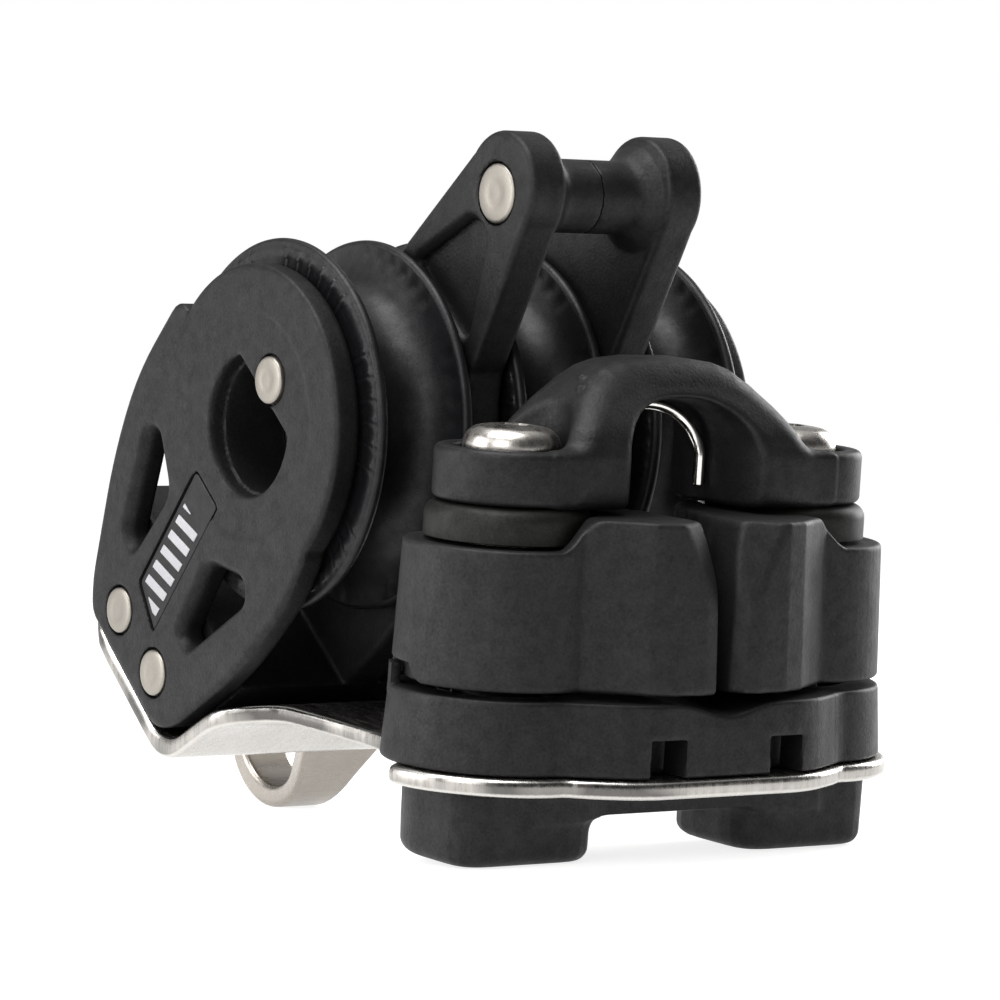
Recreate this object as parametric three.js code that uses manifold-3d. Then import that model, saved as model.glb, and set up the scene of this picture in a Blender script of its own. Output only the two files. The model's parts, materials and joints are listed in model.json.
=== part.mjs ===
// Triple-sheave block with a becket, a head eye and a cam cleat on a bent steel arm.
//
// Millimetres, +Z up. The part stands on the front edges of its two feet and on the bottom of
// its head eye. X runs along the sheave axis, and +Y points from the cleat back to the block.
// The origin is on the standing surface, under the middle of the part.
//
// Two frames are nested in it:
//   cleat frame: z = 0 on top of the steel arm, z along the cleat screws, y = 0 through them;
//   block frame: origin on the sheave axis, z towards the becket, y up and back, x as above.

import * as THREE from 'three';
import { mergeVertices } from 'three/addons/utils/BufferGeometryUtils.js';
import Module from 'manifold-3d';

const wasm = await Module();
wasm.setup();

// ---------------------------------------------------------------- driving dimensions

const FIT_GAP = 0.15; // between pieces that are clamped together
const RUN_GAP = 0.35; // between pieces that turn on each other

// Block
const BLOCK_Y = 36.9;
const BLOCK_Z = 32.6;
const BLOCK_TILT = THREE.MathUtils.degToRad(37.6);
const SHEAVE_R = 21.0;
const SHEAVE_W = 12.5;
const SHEAVE_PITCH = 18.85;
const RIM_W = 1.35;
const GROOVE_R = 14.9;
const HUB_R = 10.6;
const CHEEK_IN = 25.6;
const CHEEK_OUT = 29.2;
const CHEEK_R = 18.1;
const PLATE_IN = 6.95;
const PLATE_OUT = 11.85;
const BORE_R = 7.6;
const BORE_MOUTH_R = 8.1;
const BORE_MOUTH_DEEP = 2.3;
const BORE_FLAT = 4.5;
const HUB_RIVET_U = 6.8;
const HEAD_RIVET_U = -34.45;
const HEAD_RIVET_V = 5.1;
const BECKET_U = 34.9;
const BECKET_END_U = 35.6;
const BECKET_END_R = 6.4;
const SPOOL_R = 4.1;
const HEAD_BLOCK_U = -25.8;
const HEAD_END = -39.35;

// Rivets
const RIVET_R = 2.3;
const RIVET_HEAD_R = 2.65;
const BECKET_RIVET_R = 2.6;
const BECKET_RIVET_HEAD_R = 3.3;
const HEAD_STAND = 0.3;
const HEAD_DEEP = 1.1;

// Head eye, a strap that widens from its bottom up to the arm and narrows to pass through it
const EYE_IN = 7.5;
const EYE_THICK = 1.9;
const EYE_HALF_W = 5.4;
const EYE_BOTTOM_THICK = 2.8;
const EYE_NECK_HALF_W = 3.2;
const EYE_ARC_U = -50.6;

// Steel arm
const ARM_THICK = 2.0;
const ARM_RISE_Y = 13.0;
const ARM_CREST_Y = 39.2;
const ARM_CREST_Z = 1.1;
const ARM_HEAD_HALF_W = 28.8;
const ARM_WAIST_HALF_W = 21.2;
const ARM_LOBE_R = 13.1;
const LOBE_TRIM = [[21.6, 9.4], [32.3, 0.3], [36, 0.3], [36, 16], [21.6, 16]];
const ARM_FRONT_Y = -17.7;

// Cleat
const POST_X = 19;
const BASE_R = 12.3;
const BASE_H = 8.2;
const BASE_FRONT_Y = -17.2;
const CAM_Z0 = 8.9;
const CAM_SHELF_Z = 23.8;
const CAM_TOP_Z = 27.4;
const CAM_HUB_R = 11.6;

// Stop lug on the base and the cam's notch round it, as angles in degrees on the -x side.
// The notch leaves the cam 22 degrees of swing.
const STOP_IN = 9.6;
const STOP_OUT = 11.8;
const STOP_TOP_Z = 10.3;
const STOP_ANGLES = [140, 163];
const NOTCH_ANGLES = [137, 187];

const BUSH_R = 5.0;
const CAP_R = 9.0;
const CAP_TOP_Z = 28.0;
const EAR_R = 8.3;
const EAR_Z0 = 28.15;
const EAR_Z1 = 34.0;
const ARCH_TOP_Z = 43.7;
const SEAT_Z = 32.0;
const SCREW_R = 2.45;
const SCREW_HEAD_R = 5.3;
const SCREW_HEAD_H = 4.3;
const SCREW_END_Z = -9.7;
const FOOT_Z = -10.15;
const FOOT_SLAB_Z = -5.0;
const FOOT_HALF_D = 8.2;
const FOOT_R = 9.3;
const FOOT_INNER_X = 9.7;
const NUT_FLATS = 8.0;

// ---------------------------------------------------------------- materials

function material(color, roughness, metalness) {
  return new THREE.MeshStandardMaterial({ color, roughness, metalness });
}
const BLACK = material('#242326', 0.62, 0);
const SHEAVE_BLACK = material('#1d1c1f', 0.5, 0);
const STEEL = material('#c9c6c0', 0.28, 1);
const OLIVE = material('#2b2c22', 0.3, 0);
const ACETAL = material('#d8d5ca', 0.45, 0);
const LABEL = material('#19191b', 0.36, 0);

// ---------------------------------------------------------------- geometry helpers

// A closed three.js geometry as a solid that can be joined and cut.
function solid(geometry) {
  const bare = geometry.clone();
  bare.deleteAttribute('normal');
  bare.deleteAttribute('uv');
  const merged = mergeVertices(bare, 1e-5);
  const mesh = new wasm.Mesh({
    numProp: 3,
    vertProperties: new Float32Array(merged.attributes.position.array),
    triVerts: new Uint32Array(merged.index.array),
  });
  return new wasm.Manifold(mesh);
}

function geometryOf(manifold) {
  const mesh = manifold.getMesh();
  const geometry = new THREE.BufferGeometry();
  geometry.setAttribute('position', new THREE.BufferAttribute(mesh.vertProperties, 3));
  geometry.setIndex(new THREE.BufferAttribute(mesh.triVerts, 1));
  geometry.computeVertexNormals();
  return geometry;
}

function join(...parts) {
  return parts.reduce((all, part) => all.add(part));
}

function cut(body, ...tools) {
  return tools.reduce((left, tool) => left.subtract(tool), body);
}

function extrude(shape, depth, steps = 12) {
  return new THREE.ExtrudeGeometry(shape, { depth, bevelEnabled: false, curveSegments: steps });
}

// A plan outline in x and y, raised from z0 to z1.
function raise(shape, z0, z1, steps) {
  return solid(extrude(shape, z1 - z0, steps).translate(0, 0, z0));
}

// An outline drawn with its x along y and its y along z, run from x0 to x1.
const ACROSS = new THREE.Matrix4().makeBasis(
  new THREE.Vector3(0, 1, 0), new THREE.Vector3(0, 0, 1), new THREE.Vector3(1, 0, 0));
function across(shape, x0, x1, steps) {
  return solid(extrude(shape, x1 - x0, steps).applyMatrix4(ACROSS).translate(x0, 0, 0));
}

// An outline drawn with its x along x and its y along z, run from y0 to y1.
function along(shape, y0, y1, steps) {
  return solid(extrude(shape, y1 - y0, steps).rotateX(Math.PI / 2).translate(0, y1, 0));
}

function rodZ(radius, x, y, z0, z1, sides = 24) {
  const rod = new THREE.CylinderGeometry(radius, radius, z1 - z0, sides);
  return solid(rod.rotateX(Math.PI / 2).translate(x, y, (z0 + z1) / 2));
}

function rodX(radius, y, z, x0, x1, sides = 20) {
  const rod = new THREE.CylinderGeometry(radius, radius, x1 - x0, sides);
  return solid(rod.rotateZ(-Math.PI / 2).translate((x0 + x1) / 2, y, z));
}

function box(x0, x1, y0, y1, z0, z1) {
  const cuboid = new THREE.BoxGeometry(x1 - x0, y1 - y0, z1 - z0);
  return solid(cuboid.translate((x0 + x1) / 2, (y0 + y1) / 2, (z0 + z1) / 2));
}

// A profile of [radius, height] points, turned about the x or the z axis.
function turnedX(profile, sides = 32) {
  const points = profile.map(([r, h]) => new THREE.Vector2(r, h));
  return solid(new THREE.LatheGeometry(points, sides).rotateZ(-Math.PI / 2));
}
function turnedZ(profile, sides = 24) {
  const points = profile.map(([r, h]) => new THREE.Vector2(r, h));
  return solid(new THREE.LatheGeometry(points, sides).rotateX(Math.PI / 2));
}

// A closed outline through corner points, each corner rounded by its own radius.
function rounded(corners, radius) {
  const shape = new THREE.Shape();
  const count = corners.length;
  for (let i = 0; i < count; i += 1) {
    const corner = new THREE.Vector2(...corners[i]);
    const before = new THREE.Vector2(...corners[(i + count - 1) % count]).sub(corner);
    const after = new THREE.Vector2(...corners[(i + 1) % count]).sub(corner);
    const r = corners[i].length > 2 ? corners[i][2] : radius;
    const reach = Math.min(r, before.length() * 0.48, after.length() * 0.48);
    const start = corner.clone().add(before.setLength(reach));
    const end = corner.clone().add(after.setLength(reach));
    if (i === 0) shape.moveTo(start.x, start.y);
    else shape.lineTo(start.x, start.y);
    shape.quadraticCurveTo(corner.x, corner.y, end.x, end.y);
  }
  shape.closePath();
  return shape;
}

function circle(radius, x = 0, y = 0) {
  const shape = new THREE.Shape();
  shape.absarc(x, y, radius, 0, Math.PI * 2, false);
  return shape;
}

function mirroredX(manifold) {
  return manifold.mirror([1, 0, 0]);
}

// ---------------------------------------------------------------- block

// Tail of a cheek or inner plate: outline as [v, u, radius] from the rear corner of the head
// end, up the rear edge, across the shoulders and down the front edge.
const TAIL = [[9.8, HEAD_END, 1.5], [12.4, -36.2, 2], [18.8, -22.5, 6], [21.5, -12, 6],
  [20.6, 0.9, 2.2], [-18.3, -2.6, 1], [-19.2, -9, 4], [-17.6, -22, 6], [-12.2, -36.2, 2],
  [-9.3, HEAD_END, 2]];

function tailShape() {
  return rounded(TAIL, 2);
}

// The bore is round with a flat towards the becket, which bulges round the hub rivet.
function hubBore(radius, x0, x1) {
  const round = across(circle(radius), x0, x1, 12);
  const flat = box(x0 - 1, x1 + 1, -radius - 1, radius + 1, BORE_FLAT, radius + 1);
  const bulge = rodX(3.2, 0, HUB_RIVET_U, x0 - 1, x1 + 1, 16);
  return cut(round, flat, bulge);
}

function hubSleeve(x0, x1) {
  return across(circle(HUB_R), x0, x1, 14);
}

function blockRivetHoles(x0, x1) {
  const r = RIVET_R + FIT_GAP;
  return [
    rodX(r, 0, HUB_RIVET_U, x0, x1, 12),
    rodX(r, HEAD_RIVET_V, HEAD_RIVET_U, x0, x1, 12),
    rodX(r, -HEAD_RIVET_V, HEAD_RIVET_U, x0, x1, 12),
  ];
}

function rivetSeat(v, u) {
  return rodX(RIVET_HEAD_R + 0.25, v, u, CHEEK_OUT - HEAD_DEEP - FIT_GAP, CHEEK_OUT + 1, 16);
}

// Window beside the label, drawn for the rear side. The pair sits a little towards the rear.
const WINDOW = [[5.9, -17.2, 1.2], [12.2, -13.6, 1.6], [14.0, -15.0, 1.6], [9.4, -27.2, 1.6],
  [6.8, -27.4, 1.2]];
const WINDOW_SHIFT = 1.1;
const LABEL_U = [-31.2, -11.0];
const LABEL_V = [-2.0, 4.4];
const LABEL_DEEP = 0.9;

function labelOutline(inset) {
  const [u0, u1] = LABEL_U;
  const [v0, v1] = LABEL_V;
  return rounded([[v0 + inset, u0 + inset], [v1 - inset, u0 + 2.2 + inset],
    [v1 - inset, u1 - inset], [v0 + inset, u1 - inset]], 0.8);
}

// The cheek on the +x side, with the hub sleeve that carries half of the outer sheave.
function cheek() {
  const plate = join(
    across(circle(CHEEK_R), CHEEK_IN, CHEEK_OUT, 22),
    across(tailShape(), CHEEK_IN, CHEEK_OUT, 3));
  const windows = [1, -1].map((side) => {
    const outline = WINDOW.map(([v, u, r]) => [v * side + WINDOW_SHIFT, u, r]);
    return across(rounded(outline, 1), CHEEK_IN - 1, CHEEK_OUT + 1, 3);
  });
  const recess = across(labelOutline(0), CHEEK_OUT - LABEL_DEEP, CHEEK_OUT + 1, 4);
  const mouth = hubBore(BORE_MOUTH_R, CHEEK_OUT - BORE_MOUTH_DEEP, CHEEK_OUT + 1);
  const body = join(plate, hubSleeve(SHEAVE_PITCH + FIT_GAP / 2, CHEEK_IN + 1));
  return cut(body, ...windows, recess, mouth, hubBore(BORE_R, SHEAVE_PITCH - 1, CHEEK_OUT + 1),
    ...blockRivetHoles(SHEAVE_PITCH - 1, CHEEK_OUT + 1), rivetSeat(0, HUB_RIVET_U),
    rivetSeat(HEAD_RIVET_V, HEAD_RIVET_U), rivetSeat(-HEAD_RIVET_V, HEAD_RIVET_U));
}

function label() {
  return across(labelOutline(0.25), CHEEK_OUT - LABEL_DEEP + FIT_GAP, CHEEK_OUT - 0.25, 4);
}

// Becket arm: half outline as [v, u] from the round body up to the round end of the arm.
const ARM_HALF = [[13.6, 11.0], [9.9, 17.2], [BECKET_END_R, BECKET_END_U]];

function becketArmShape() {
  const shape = new THREE.Shape();
  shape.moveTo(ARM_HALF[0][0], 0);
  ARM_HALF.forEach(([v, u]) => shape.lineTo(v, u));
  shape.absarc(0, BECKET_END_U, BECKET_END_R, 0, Math.PI, false);
  ARM_HALF.slice().reverse().forEach(([v, u]) => shape.lineTo(-v, u));
  shape.lineTo(-ARM_HALF[0][0], 0);
  shape.closePath();
  return shape;
}

const ARM_POCKET = [[-1.8, 30.2, 1.2], [1.8, 30.2, 1.2], [6.8, 18.9, 1.4], [-6.8, 18.9, 1.4]];
const POCKET_DEEP = 1.3;

// Inner plate on the +x side: sleeves for two sheaves, a becket arm, half of the becket's
// spool, and head blocks that fill the bays around the head rivets.
function innerPlate() {
  const plate = join(
    across(circle(CHEEK_R), PLATE_IN, PLATE_OUT, 22),
    across(tailShape(), PLATE_IN, PLATE_OUT, 3),
    across(becketArmShape(), PLATE_IN, PLATE_OUT, 5));
  const pocket = across(rounded(ARM_POCKET, 1.2), PLATE_OUT - POCKET_DEEP, PLATE_OUT + 1, 4);
  const headFrom = EYE_NECK_HALF_W + 1.4;
  const headTo = CHEEK_IN - FIT_GAP;
  const head = across(tailShape(), headFrom, headTo, 3)
    .intersect(box(0, 40, -30, 30, HEAD_END - 1, HEAD_BLOCK_U));
  const spool = turnedX([[0, FIT_GAP / 2], [SPOOL_R, FIT_GAP / 2], [SPOOL_R, 4.2],
    [4.5, 5.6], [5.5, PLATE_IN + 0.2], [0, PLATE_IN + 0.2]], 20).translate([0, 0, BECKET_U]);
  const sleeves = hubSleeve(FIT_GAP / 2, SHEAVE_PITCH - FIT_GAP / 2);
  const body = join(cut(plate, pocket), head, spool, sleeves);
  return cut(body, hubBore(BORE_R, -1, SHEAVE_PITCH + 1), ...blockRivetHoles(-1, CHEEK_IN + 1),
    rodX(BECKET_RIVET_R + FIT_GAP, 0, BECKET_U, -1, PLATE_OUT + 1, 24),
    rodX(BECKET_RIVET_HEAD_R + 0.25, 0, BECKET_U,
      PLATE_OUT - HEAD_DEEP - FIT_GAP, PLATE_OUT + 1, 24));
}

function sheave() {
  const half = SHEAVE_W / 2;
  const hubHalf = half + 0.2;
  const bore = HUB_R + RUN_GAP;
  const rimIn = half - RIM_W;
  const profile = [[bore, -hubHalf], [13.2, -hubHalf], [13.6, -half], [SHEAVE_R - 0.3, -half],
    [SHEAVE_R, -half + 0.4], [SHEAVE_R, -rimIn - 0.3]];
  const grooveSteps = 6;
  for (let i = 0; i <= grooveSteps; i += 1) {
    const angle = Math.PI * (i / grooveSteps);
    const depth = SHEAVE_R - 0.4 - GROOVE_R;
    profile.push([SHEAVE_R - 0.4 - depth * Math.sin(angle), -rimIn * Math.cos(angle)]);
  }
  profile.push([SHEAVE_R, rimIn + 0.3], [SHEAVE_R, half - 0.4], [SHEAVE_R - 0.3, half],
    [13.6, half], [13.2, hubHalf], [bore, hubHalf], [bore, -hubHalf]);
  return turnedX(profile, 40);
}

// A rivet along x with a low round head at each end.
function rivet(shankR, headR, faceX) {
  const top = faceX + HEAD_STAND;
  const under = faceX - HEAD_DEEP;
  const half = [[shankR, under], [headR, under], [headR, top - 0.25], [headR - 0.4, top]];
  const mirrored = half.map(([r, x]) => [r, -x]).reverse();
  return turnedX([[0, -top], ...mirrored, ...half, [0, top]], 18);
}

// Closed strap in the plane of u and v: round the two head rivets, down through the arm,
// and round at the bottom. Shoulders under the arm hold it up against the head.
function headEye() {
  const outer = EYE_IN + EYE_THICK;
  const topU = HEAD_RIVET_U + RIVET_R + 0.5;
  const corner = 2.4;
  const outline = (half, top, bottom) => {
    const shape = new THREE.Shape();
    shape.moveTo(half, EYE_ARC_U);
    shape.lineTo(half, top - corner);
    shape.quadraticCurveTo(half, top, half - corner, top);
    shape.lineTo(-half + corner, top);
    shape.quadraticCurveTo(-half, top, -half, top - corner);
    shape.lineTo(-half, EYE_ARC_U);
    shape.absellipse(0, EYE_ARC_U, half, bottom, Math.PI, Math.PI * 2, false);
    return shape;
  };
  const hole = outline(EYE_IN, topU, outer - EYE_BOTTOM_THICK);
  const strap = cut(across(outline(outer, topU + EYE_THICK, outer), -EYE_HALF_W, EYE_HALF_W, 10),
    across(hole, -EYE_HALF_W - 1, EYE_HALF_W + 1, 10));
  const bottomU = EYE_ARC_U - outer - 1;
  const half = [[EYE_NECK_HALF_W, topU + EYE_THICK + 1], [EYE_HALF_W, HEAD_END], [5.1, -44.5],
    [4.2, -49], [3.5, -54], [3.2, bottomU]];
  const flare = new THREE.Shape([...half, ...half.map(([x, u]) => [-x, u]).reverse()]
    .map(([x, u]) => new THREE.Vector2(x, u)));
  const shoulder = HEAD_END - ARM_THICK - 2 * FIT_GAP - 0.15;
  const necks = [1, -1].map((side) => {
    const x = [side * EYE_NECK_HALF_W, side * (EYE_HALF_W + 1)].sort((a, b) => a - b);
    return box(x[0], x[1], -outer - 1, outer + 1, shoulder, topU + EYE_THICK + 1);
  });
  return cut(strap.intersect(along(flare, -outer - 1, outer + 1)), ...necks);
}

// ---------------------------------------------------------------- steel arm

// Side profile of the arm's top face in the cleat frame, from the front edge to the head.
function armCorners() {
  const up = new THREE.Vector2(-Math.sin(BLOCK_TILT), Math.cos(BLOCK_TILT));
  const back = new THREE.Vector2(Math.cos(BLOCK_TILT), Math.sin(BLOCK_TILT));
  const onHead = (v) => new THREE.Vector2(BLOCK_Y, BLOCK_Z)
    .addScaledVector(up, HEAD_END - FIT_GAP).addScaledVector(back, v);
  return [new THREE.Vector2(ARM_FRONT_Y - 1, 0), new THREE.Vector2(ARM_RISE_Y, 0),
    new THREE.Vector2(ARM_CREST_Y, ARM_CREST_Z), onHead(-12.1), onHead(11.2)];
}

// The profile is drawn once along the top face and once, offset, along the underside.
function armProfile() {
  const corners = armCorners();
  const bends = [0, 1.5, 5.5, 4.2, 0];
  const face = (offset) => {
    const moved = corners.map((corner, i) => {
      const before = corners[Math.max(i - 1, 0)];
      const after = corners[Math.min(i + 1, corners.length - 1)];
      const dirIn = corner.clone().sub(before);
      const dirOut = after.clone().sub(corner);
      if (i === 0) dirIn.copy(dirOut);
      if (i === corners.length - 1) dirOut.copy(dirIn);
      dirIn.normalize();
      dirOut.normalize();
      const normal = new THREE.Vector2(-dirIn.y - dirOut.y, dirIn.x + dirOut.x).normalize();
      const stretch = 1 / Math.cos(Math.acos(Math.min(1, dirIn.dot(dirOut))) / 2);
      return corner.clone().addScaledVector(normal, -offset * stretch);
    });
    const curve = [];
    moved.forEach((corner, i) => {
      if (bends[i] === 0) {
        curve.push(corner);
        return;
      }
      const start = corner.clone().add(moved[i - 1].clone().sub(corner).setLength(bends[i]));
      const end = corner.clone().add(moved[i + 1].clone().sub(corner).setLength(bends[i]));
      curve.push(...new THREE.QuadraticBezierCurve(start, corner, end).getPoints(4));
    });
    return curve;
  };
  return new THREE.Shape([...face(0), ...face(ARM_THICK).reverse()]);
}

// Front edge shared by the arm and the cleat base, for x going from left to right.
function frontEdge(frontY, lobeR) {
  return [[-POST_X - lobeR * 0.05, -lobeR + 0.1], [-11.4, frontY + 0.4], [11.4, frontY + 0.4],
    [POST_X + lobeR * 0.05, -lobeR + 0.1]];
}

function cleatPlan(frontY, lobeR, backY, z0, z1) {
  const bulge = rounded([...frontEdge(frontY, lobeR).map(([x, y]) => [x, y, 2.5]),
    [POST_X, backY, 0.5], [-POST_X, backY, 0.5]], 2.5);
  return join(raise(circle(lobeR, -POST_X, 0), z0, z1, 18),
    raise(circle(lobeR, POST_X, 0), z0, z1, 18), raise(bulge, z0, z1, 3));
}

function cleatArm() {
  const reach = POST_X + ARM_LOBE_R + 1;
  const strip = across(armProfile(), -reach, reach);
  const half = [[ARM_WAIST_HALF_W, 8, 0.5], [ARM_WAIST_HALF_W + 0.3, 24, 6],
    [23.4, 36.2, 3], [ARM_HEAD_HALF_W, 39.6, 3], [ARM_HEAD_HALF_W, 70.4, 5.5],
    [0.01, 70.4, 0.5]];
  const mirrored = half.map(([x, y, r]) => [-x, y, r]).reverse();
  const waist = raise(rounded([...half, ...mirrored], 2), -12, 14, 3);
  const plan = join(cleatPlan(ARM_FRONT_Y, ARM_LOBE_R, 10, -12, 14), waist);
  const holes = [-POST_X, POST_X].map((x) => rodZ(SCREW_R + 0.3, x, 0, -5, 5, 16));
  const slots = [1, -1].map((side) => {
    const y0 = side * EYE_IN - FIT_GAP;
    const y1 = side * (EYE_IN + EYE_THICK) + FIT_GAP;
    const x = EYE_NECK_HALF_W + FIT_GAP;
    const low = Math.min(y0, y1 - 2 * FIT_GAP);
    const high = Math.max(y1, y0 + 2 * FIT_GAP);
    return inBlockFrame(box(-x, x, low, high, HEAD_END - 6, HEAD_END + 4));
  });
  const trim = raise(new THREE.Shape(LOBE_TRIM.map(([x, y]) => new THREE.Vector2(x, y))), -12, 14);
  return cut(strip.intersect(plan), trim, mirroredX(trim), ...holes, ...slots);
}

function inBlockFrame(manifold) {
  const turned = manifold.rotate([THREE.MathUtils.radToDeg(BLOCK_TILT), 0, 0]);
  return turned.translate([0, BLOCK_Y, BLOCK_Z]);
}

// ---------------------------------------------------------------- cleat

function screwHoles(z0, z1) {
  return [-POST_X, POST_X].map((x) => rodZ(SCREW_R + 0.3, x, 0, z0, z1, 16));
}

function hexagon(flats) {
  const corners = [];
  for (let i = 0; i < 6; i += 1) {
    const angle = (i + 0.5) * Math.PI / 3;
    const reach = flats / 2 / Math.cos(Math.PI / 6);
    corners.push(new THREE.Vector2(reach * Math.cos(angle), reach * Math.sin(angle)));
  }
  return new THREE.Shape(corners);
}

const NUT_POCKET_TOP = -5.4;

function footBlock() {
  const top = -ARM_THICK - FIT_GAP;
  const outer = POST_X + FOOT_R;
  const plan = [[FOOT_INNER_X, -FOOT_HALF_D, 4.5], [outer, -FOOT_HALF_D, 4.5], [outer, 3.3, 5],
    [POST_X + 6.2, FOOT_HALF_D, 5], [FOOT_INNER_X, FOOT_HALF_D, 7]];
  const rightFoot = raise(rounded(plan, 1), FOOT_Z, top, 5);
  const slab = box(-POST_X, POST_X, -FOOT_HALF_D, FOOT_HALF_D, FOOT_SLAB_Z, top);
  const pockets = [-POST_X, POST_X].map((x) => raise(hexagon(NUT_FLATS + 0.5), FOOT_Z - 1,
    NUT_POCKET_TOP, 1).translate([x, 0, 0]));
  return cut(join(rightFoot, mirroredX(rightFoot), slab), ...screwHoles(-20, 5), ...pockets);
}

const SPRING_R = 6.3;
const SPRING_WIRE_R = 0.45;
const SPRING_Z0 = 4.0;
const SPRING_Z1 = 7.6;

// The base: spring pockets round two posts, two drain notches, and a shallow vee for the rope.
function cleatBase() {
  const body = cleatPlan(BASE_FRONT_Y, BASE_R, 11.6, FIT_GAP, BASE_H);
  const tapered = body.warp((vertex) => {
    const draft = 1 - 0.022 * Math.max(0, vertex[2]) / BASE_H;
    vertex[0] *= draft;
    vertex[1] *= draft;
  });
  const pockets = [-POST_X, POST_X].map((x) => cut(
    rodZ(SPRING_R + 1.5, x, 0, 3.2, BASE_H + 1, 20), rodZ(BUSH_R, x, 0, 0, BASE_H + 2, 16)));
  const notches = [-8, 8].map((x) => box(x - 2.3, x + 2.3, -20, -12.5, -1, 4.3));
  const vee = along(new THREE.Shape([new THREE.Vector2(-9, BASE_H + 0.6),
    new THREE.Vector2(0, BASE_H - 1.5), new THREE.Vector2(9, BASE_H + 0.6),
    new THREE.Vector2(0, BASE_H + 2)]), -30, 30);
  const stop = raise(ringPart(STOP_IN, STOP_OUT, ...STOP_ANGLES), BASE_H - 1, STOP_TOP_Z)
    .translate([-POST_X, 0, 0]);
  return cut(join(tapered, stop, mirroredX(stop)), ...pockets, ...notches, vee,
    ...screwHoles(-5, 15));
}

// Plan of the cam on the -x side in its own frame, with the post at the origin. It starts at
// the hub on the crew's side, runs along the smooth back to the nose, and returns by the teeth.
function camShape() {
  const shape = new THREE.Shape();
  const away = THREE.MathUtils.degToRad(-78);
  shape.moveTo(CAM_HUB_R * Math.cos(away), CAM_HUB_R * Math.sin(away));
  shape.splineThru([new THREE.Vector2(5.6, -13.4), new THREE.Vector2(9.0, -15.9)]);
  shape.lineTo(15.2, -16.6);
  shape.quadraticCurveTo(17.6, -16.6, 18.4, -12.9);
  shape.lineTo(18.6, -11.2);
  const teeth = 9;
  for (let i = 0; i < teeth; i += 1) {
    const [tip, root] = [gripPoint(i / teeth), gripPoint((i + 0.75) / teeth)];
    shape.lineTo(tip.x, tip.y);
    shape.lineTo(root.x - 0.75, root.y);
  }
  const last = gripPoint(1);
  shape.lineTo(last.x, last.y);
  const meet = Math.atan2(last.y, last.x);
  shape.absarc(0, 0, CAM_HUB_R, meet, away + Math.PI * 2, false);
  return shape;
}

// The toothed face, from near the nose at t = 0 to the hub at t = 1.
function gripPoint(t) {
  const curve = new THREE.CubicBezierCurve(new THREE.Vector2(18.6, -10.6),
    new THREE.Vector2(18.2, -3.5), new THREE.Vector2(15.0, 4.5), new THREE.Vector2(8.2, 8.62));
  return curve.getPoint(t);
}

// Plan of the part of a ring between two angles in degrees, as on the -x side of the cleat.
function ringPart(inner, outer, from, to) {
  const [a, b] = [from, to].map(THREE.MathUtils.degToRad);
  const shape = new THREE.Shape();
  shape.absarc(0, 0, outer, a, b, false);
  shape.absarc(0, 0, inner, b, a, true);
  shape.closePath();
  return shape;
}

// Rope lead-in: the nose leans back a little towards its top, and its corner on the crew's
// side is cut away more and more towards the top.
function noseCuts() {
  const shape = new THREE.Shape();
  shape.moveTo(25, 8);
  shape.lineTo(25, 30);
  shape.lineTo(16.1, 30);
  shape.lineTo(16.1, CAM_TOP_Z);
  shape.quadraticCurveTo(18.3, 22, 18.5, 14);
  shape.closePath();
  const outward = new THREE.Vector3(0.55, -0.83, 0.32).normalize();
  const turn = new THREE.Quaternion().setFromUnitVectors(new THREE.Vector3(0, 0, 1), outward);
  const corner = new THREE.BoxGeometry(60, 60, 20).translate(0, 0, 10)
    .applyQuaternion(turn).translate(18.4, -16.6, 14);
  return [along(shape, -30, 4, 4), solid(corner)];
}

function cam() {
  const body = raise(camShape(), CAM_Z0, CAM_TOP_Z, 8);
  const capSeat = rodZ(CAP_R + RUN_GAP + 0.2, 0, 0, CAM_SHELF_Z, CAM_TOP_Z + 1, 28);
  const shelf = cut(rodZ(CAM_HUB_R + 1.5, 0, 0, CAM_SHELF_Z, CAM_TOP_Z + 1, 28),
    box(1.6, 30, -30, 30, 0, 40));
  const bore = rodZ(BUSH_R + RUN_GAP, 0, 0, 0, 40, 20);
  const stopNotch = raise(ringPart(STOP_IN - 0.4, CAM_HUB_R + 2, ...NOTCH_ANGLES), 0,
    CAM_Z0 + 2.0);
  return cut(body, capSeat, shelf, bore, stopNotch, ...noseCuts());
}

function camBush() {
  const z0 = BASE_H + FIT_GAP;
  const z1 = CAM_SHELF_Z + FIT_GAP;
  return cut(rodZ(BUSH_R, 0, 0, z0, z1, 20), rodZ(SCREW_R + 0.3, 0, 0, 0, 40, 16));
}

function camCap() {
  const z0 = CAM_SHELF_Z + RUN_GAP;
  const profile = [[SCREW_R + 0.3, z0], [CAP_R, z0], [CAP_R, CAP_TOP_Z - 1.6],
    [CAP_R - 0.5, CAP_TOP_Z - 0.5], [CAP_R - 1.7, CAP_TOP_Z], [SCREW_R + 0.3, CAP_TOP_Z],
    [SCREW_R + 0.3, z0]];
  return turnedZ(profile, 28);
}

// Torsion spring: round turns with a radial leg that reaches towards the cam.
class SpringCurve extends THREE.Curve {
  getPoint(t, target = new THREE.Vector3()) {
    const turns = 2.5;
    const angle = t * turns * Math.PI * 2;
    const z = SPRING_Z0 + (SPRING_Z1 - SPRING_Z0) * t;
    return target.set(SPRING_R * Math.cos(angle), SPRING_R * Math.sin(angle), z);
  }
}

function camSpring() {
  const section = circle(SPRING_WIRE_R);
  const options = { steps: 40, curveSegments: 2, extrudePath: new SpringCurve() };
  return solid(new THREE.ExtrudeGeometry(section, options));
}

// ---------------------------------------------------------------- fairlead

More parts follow.
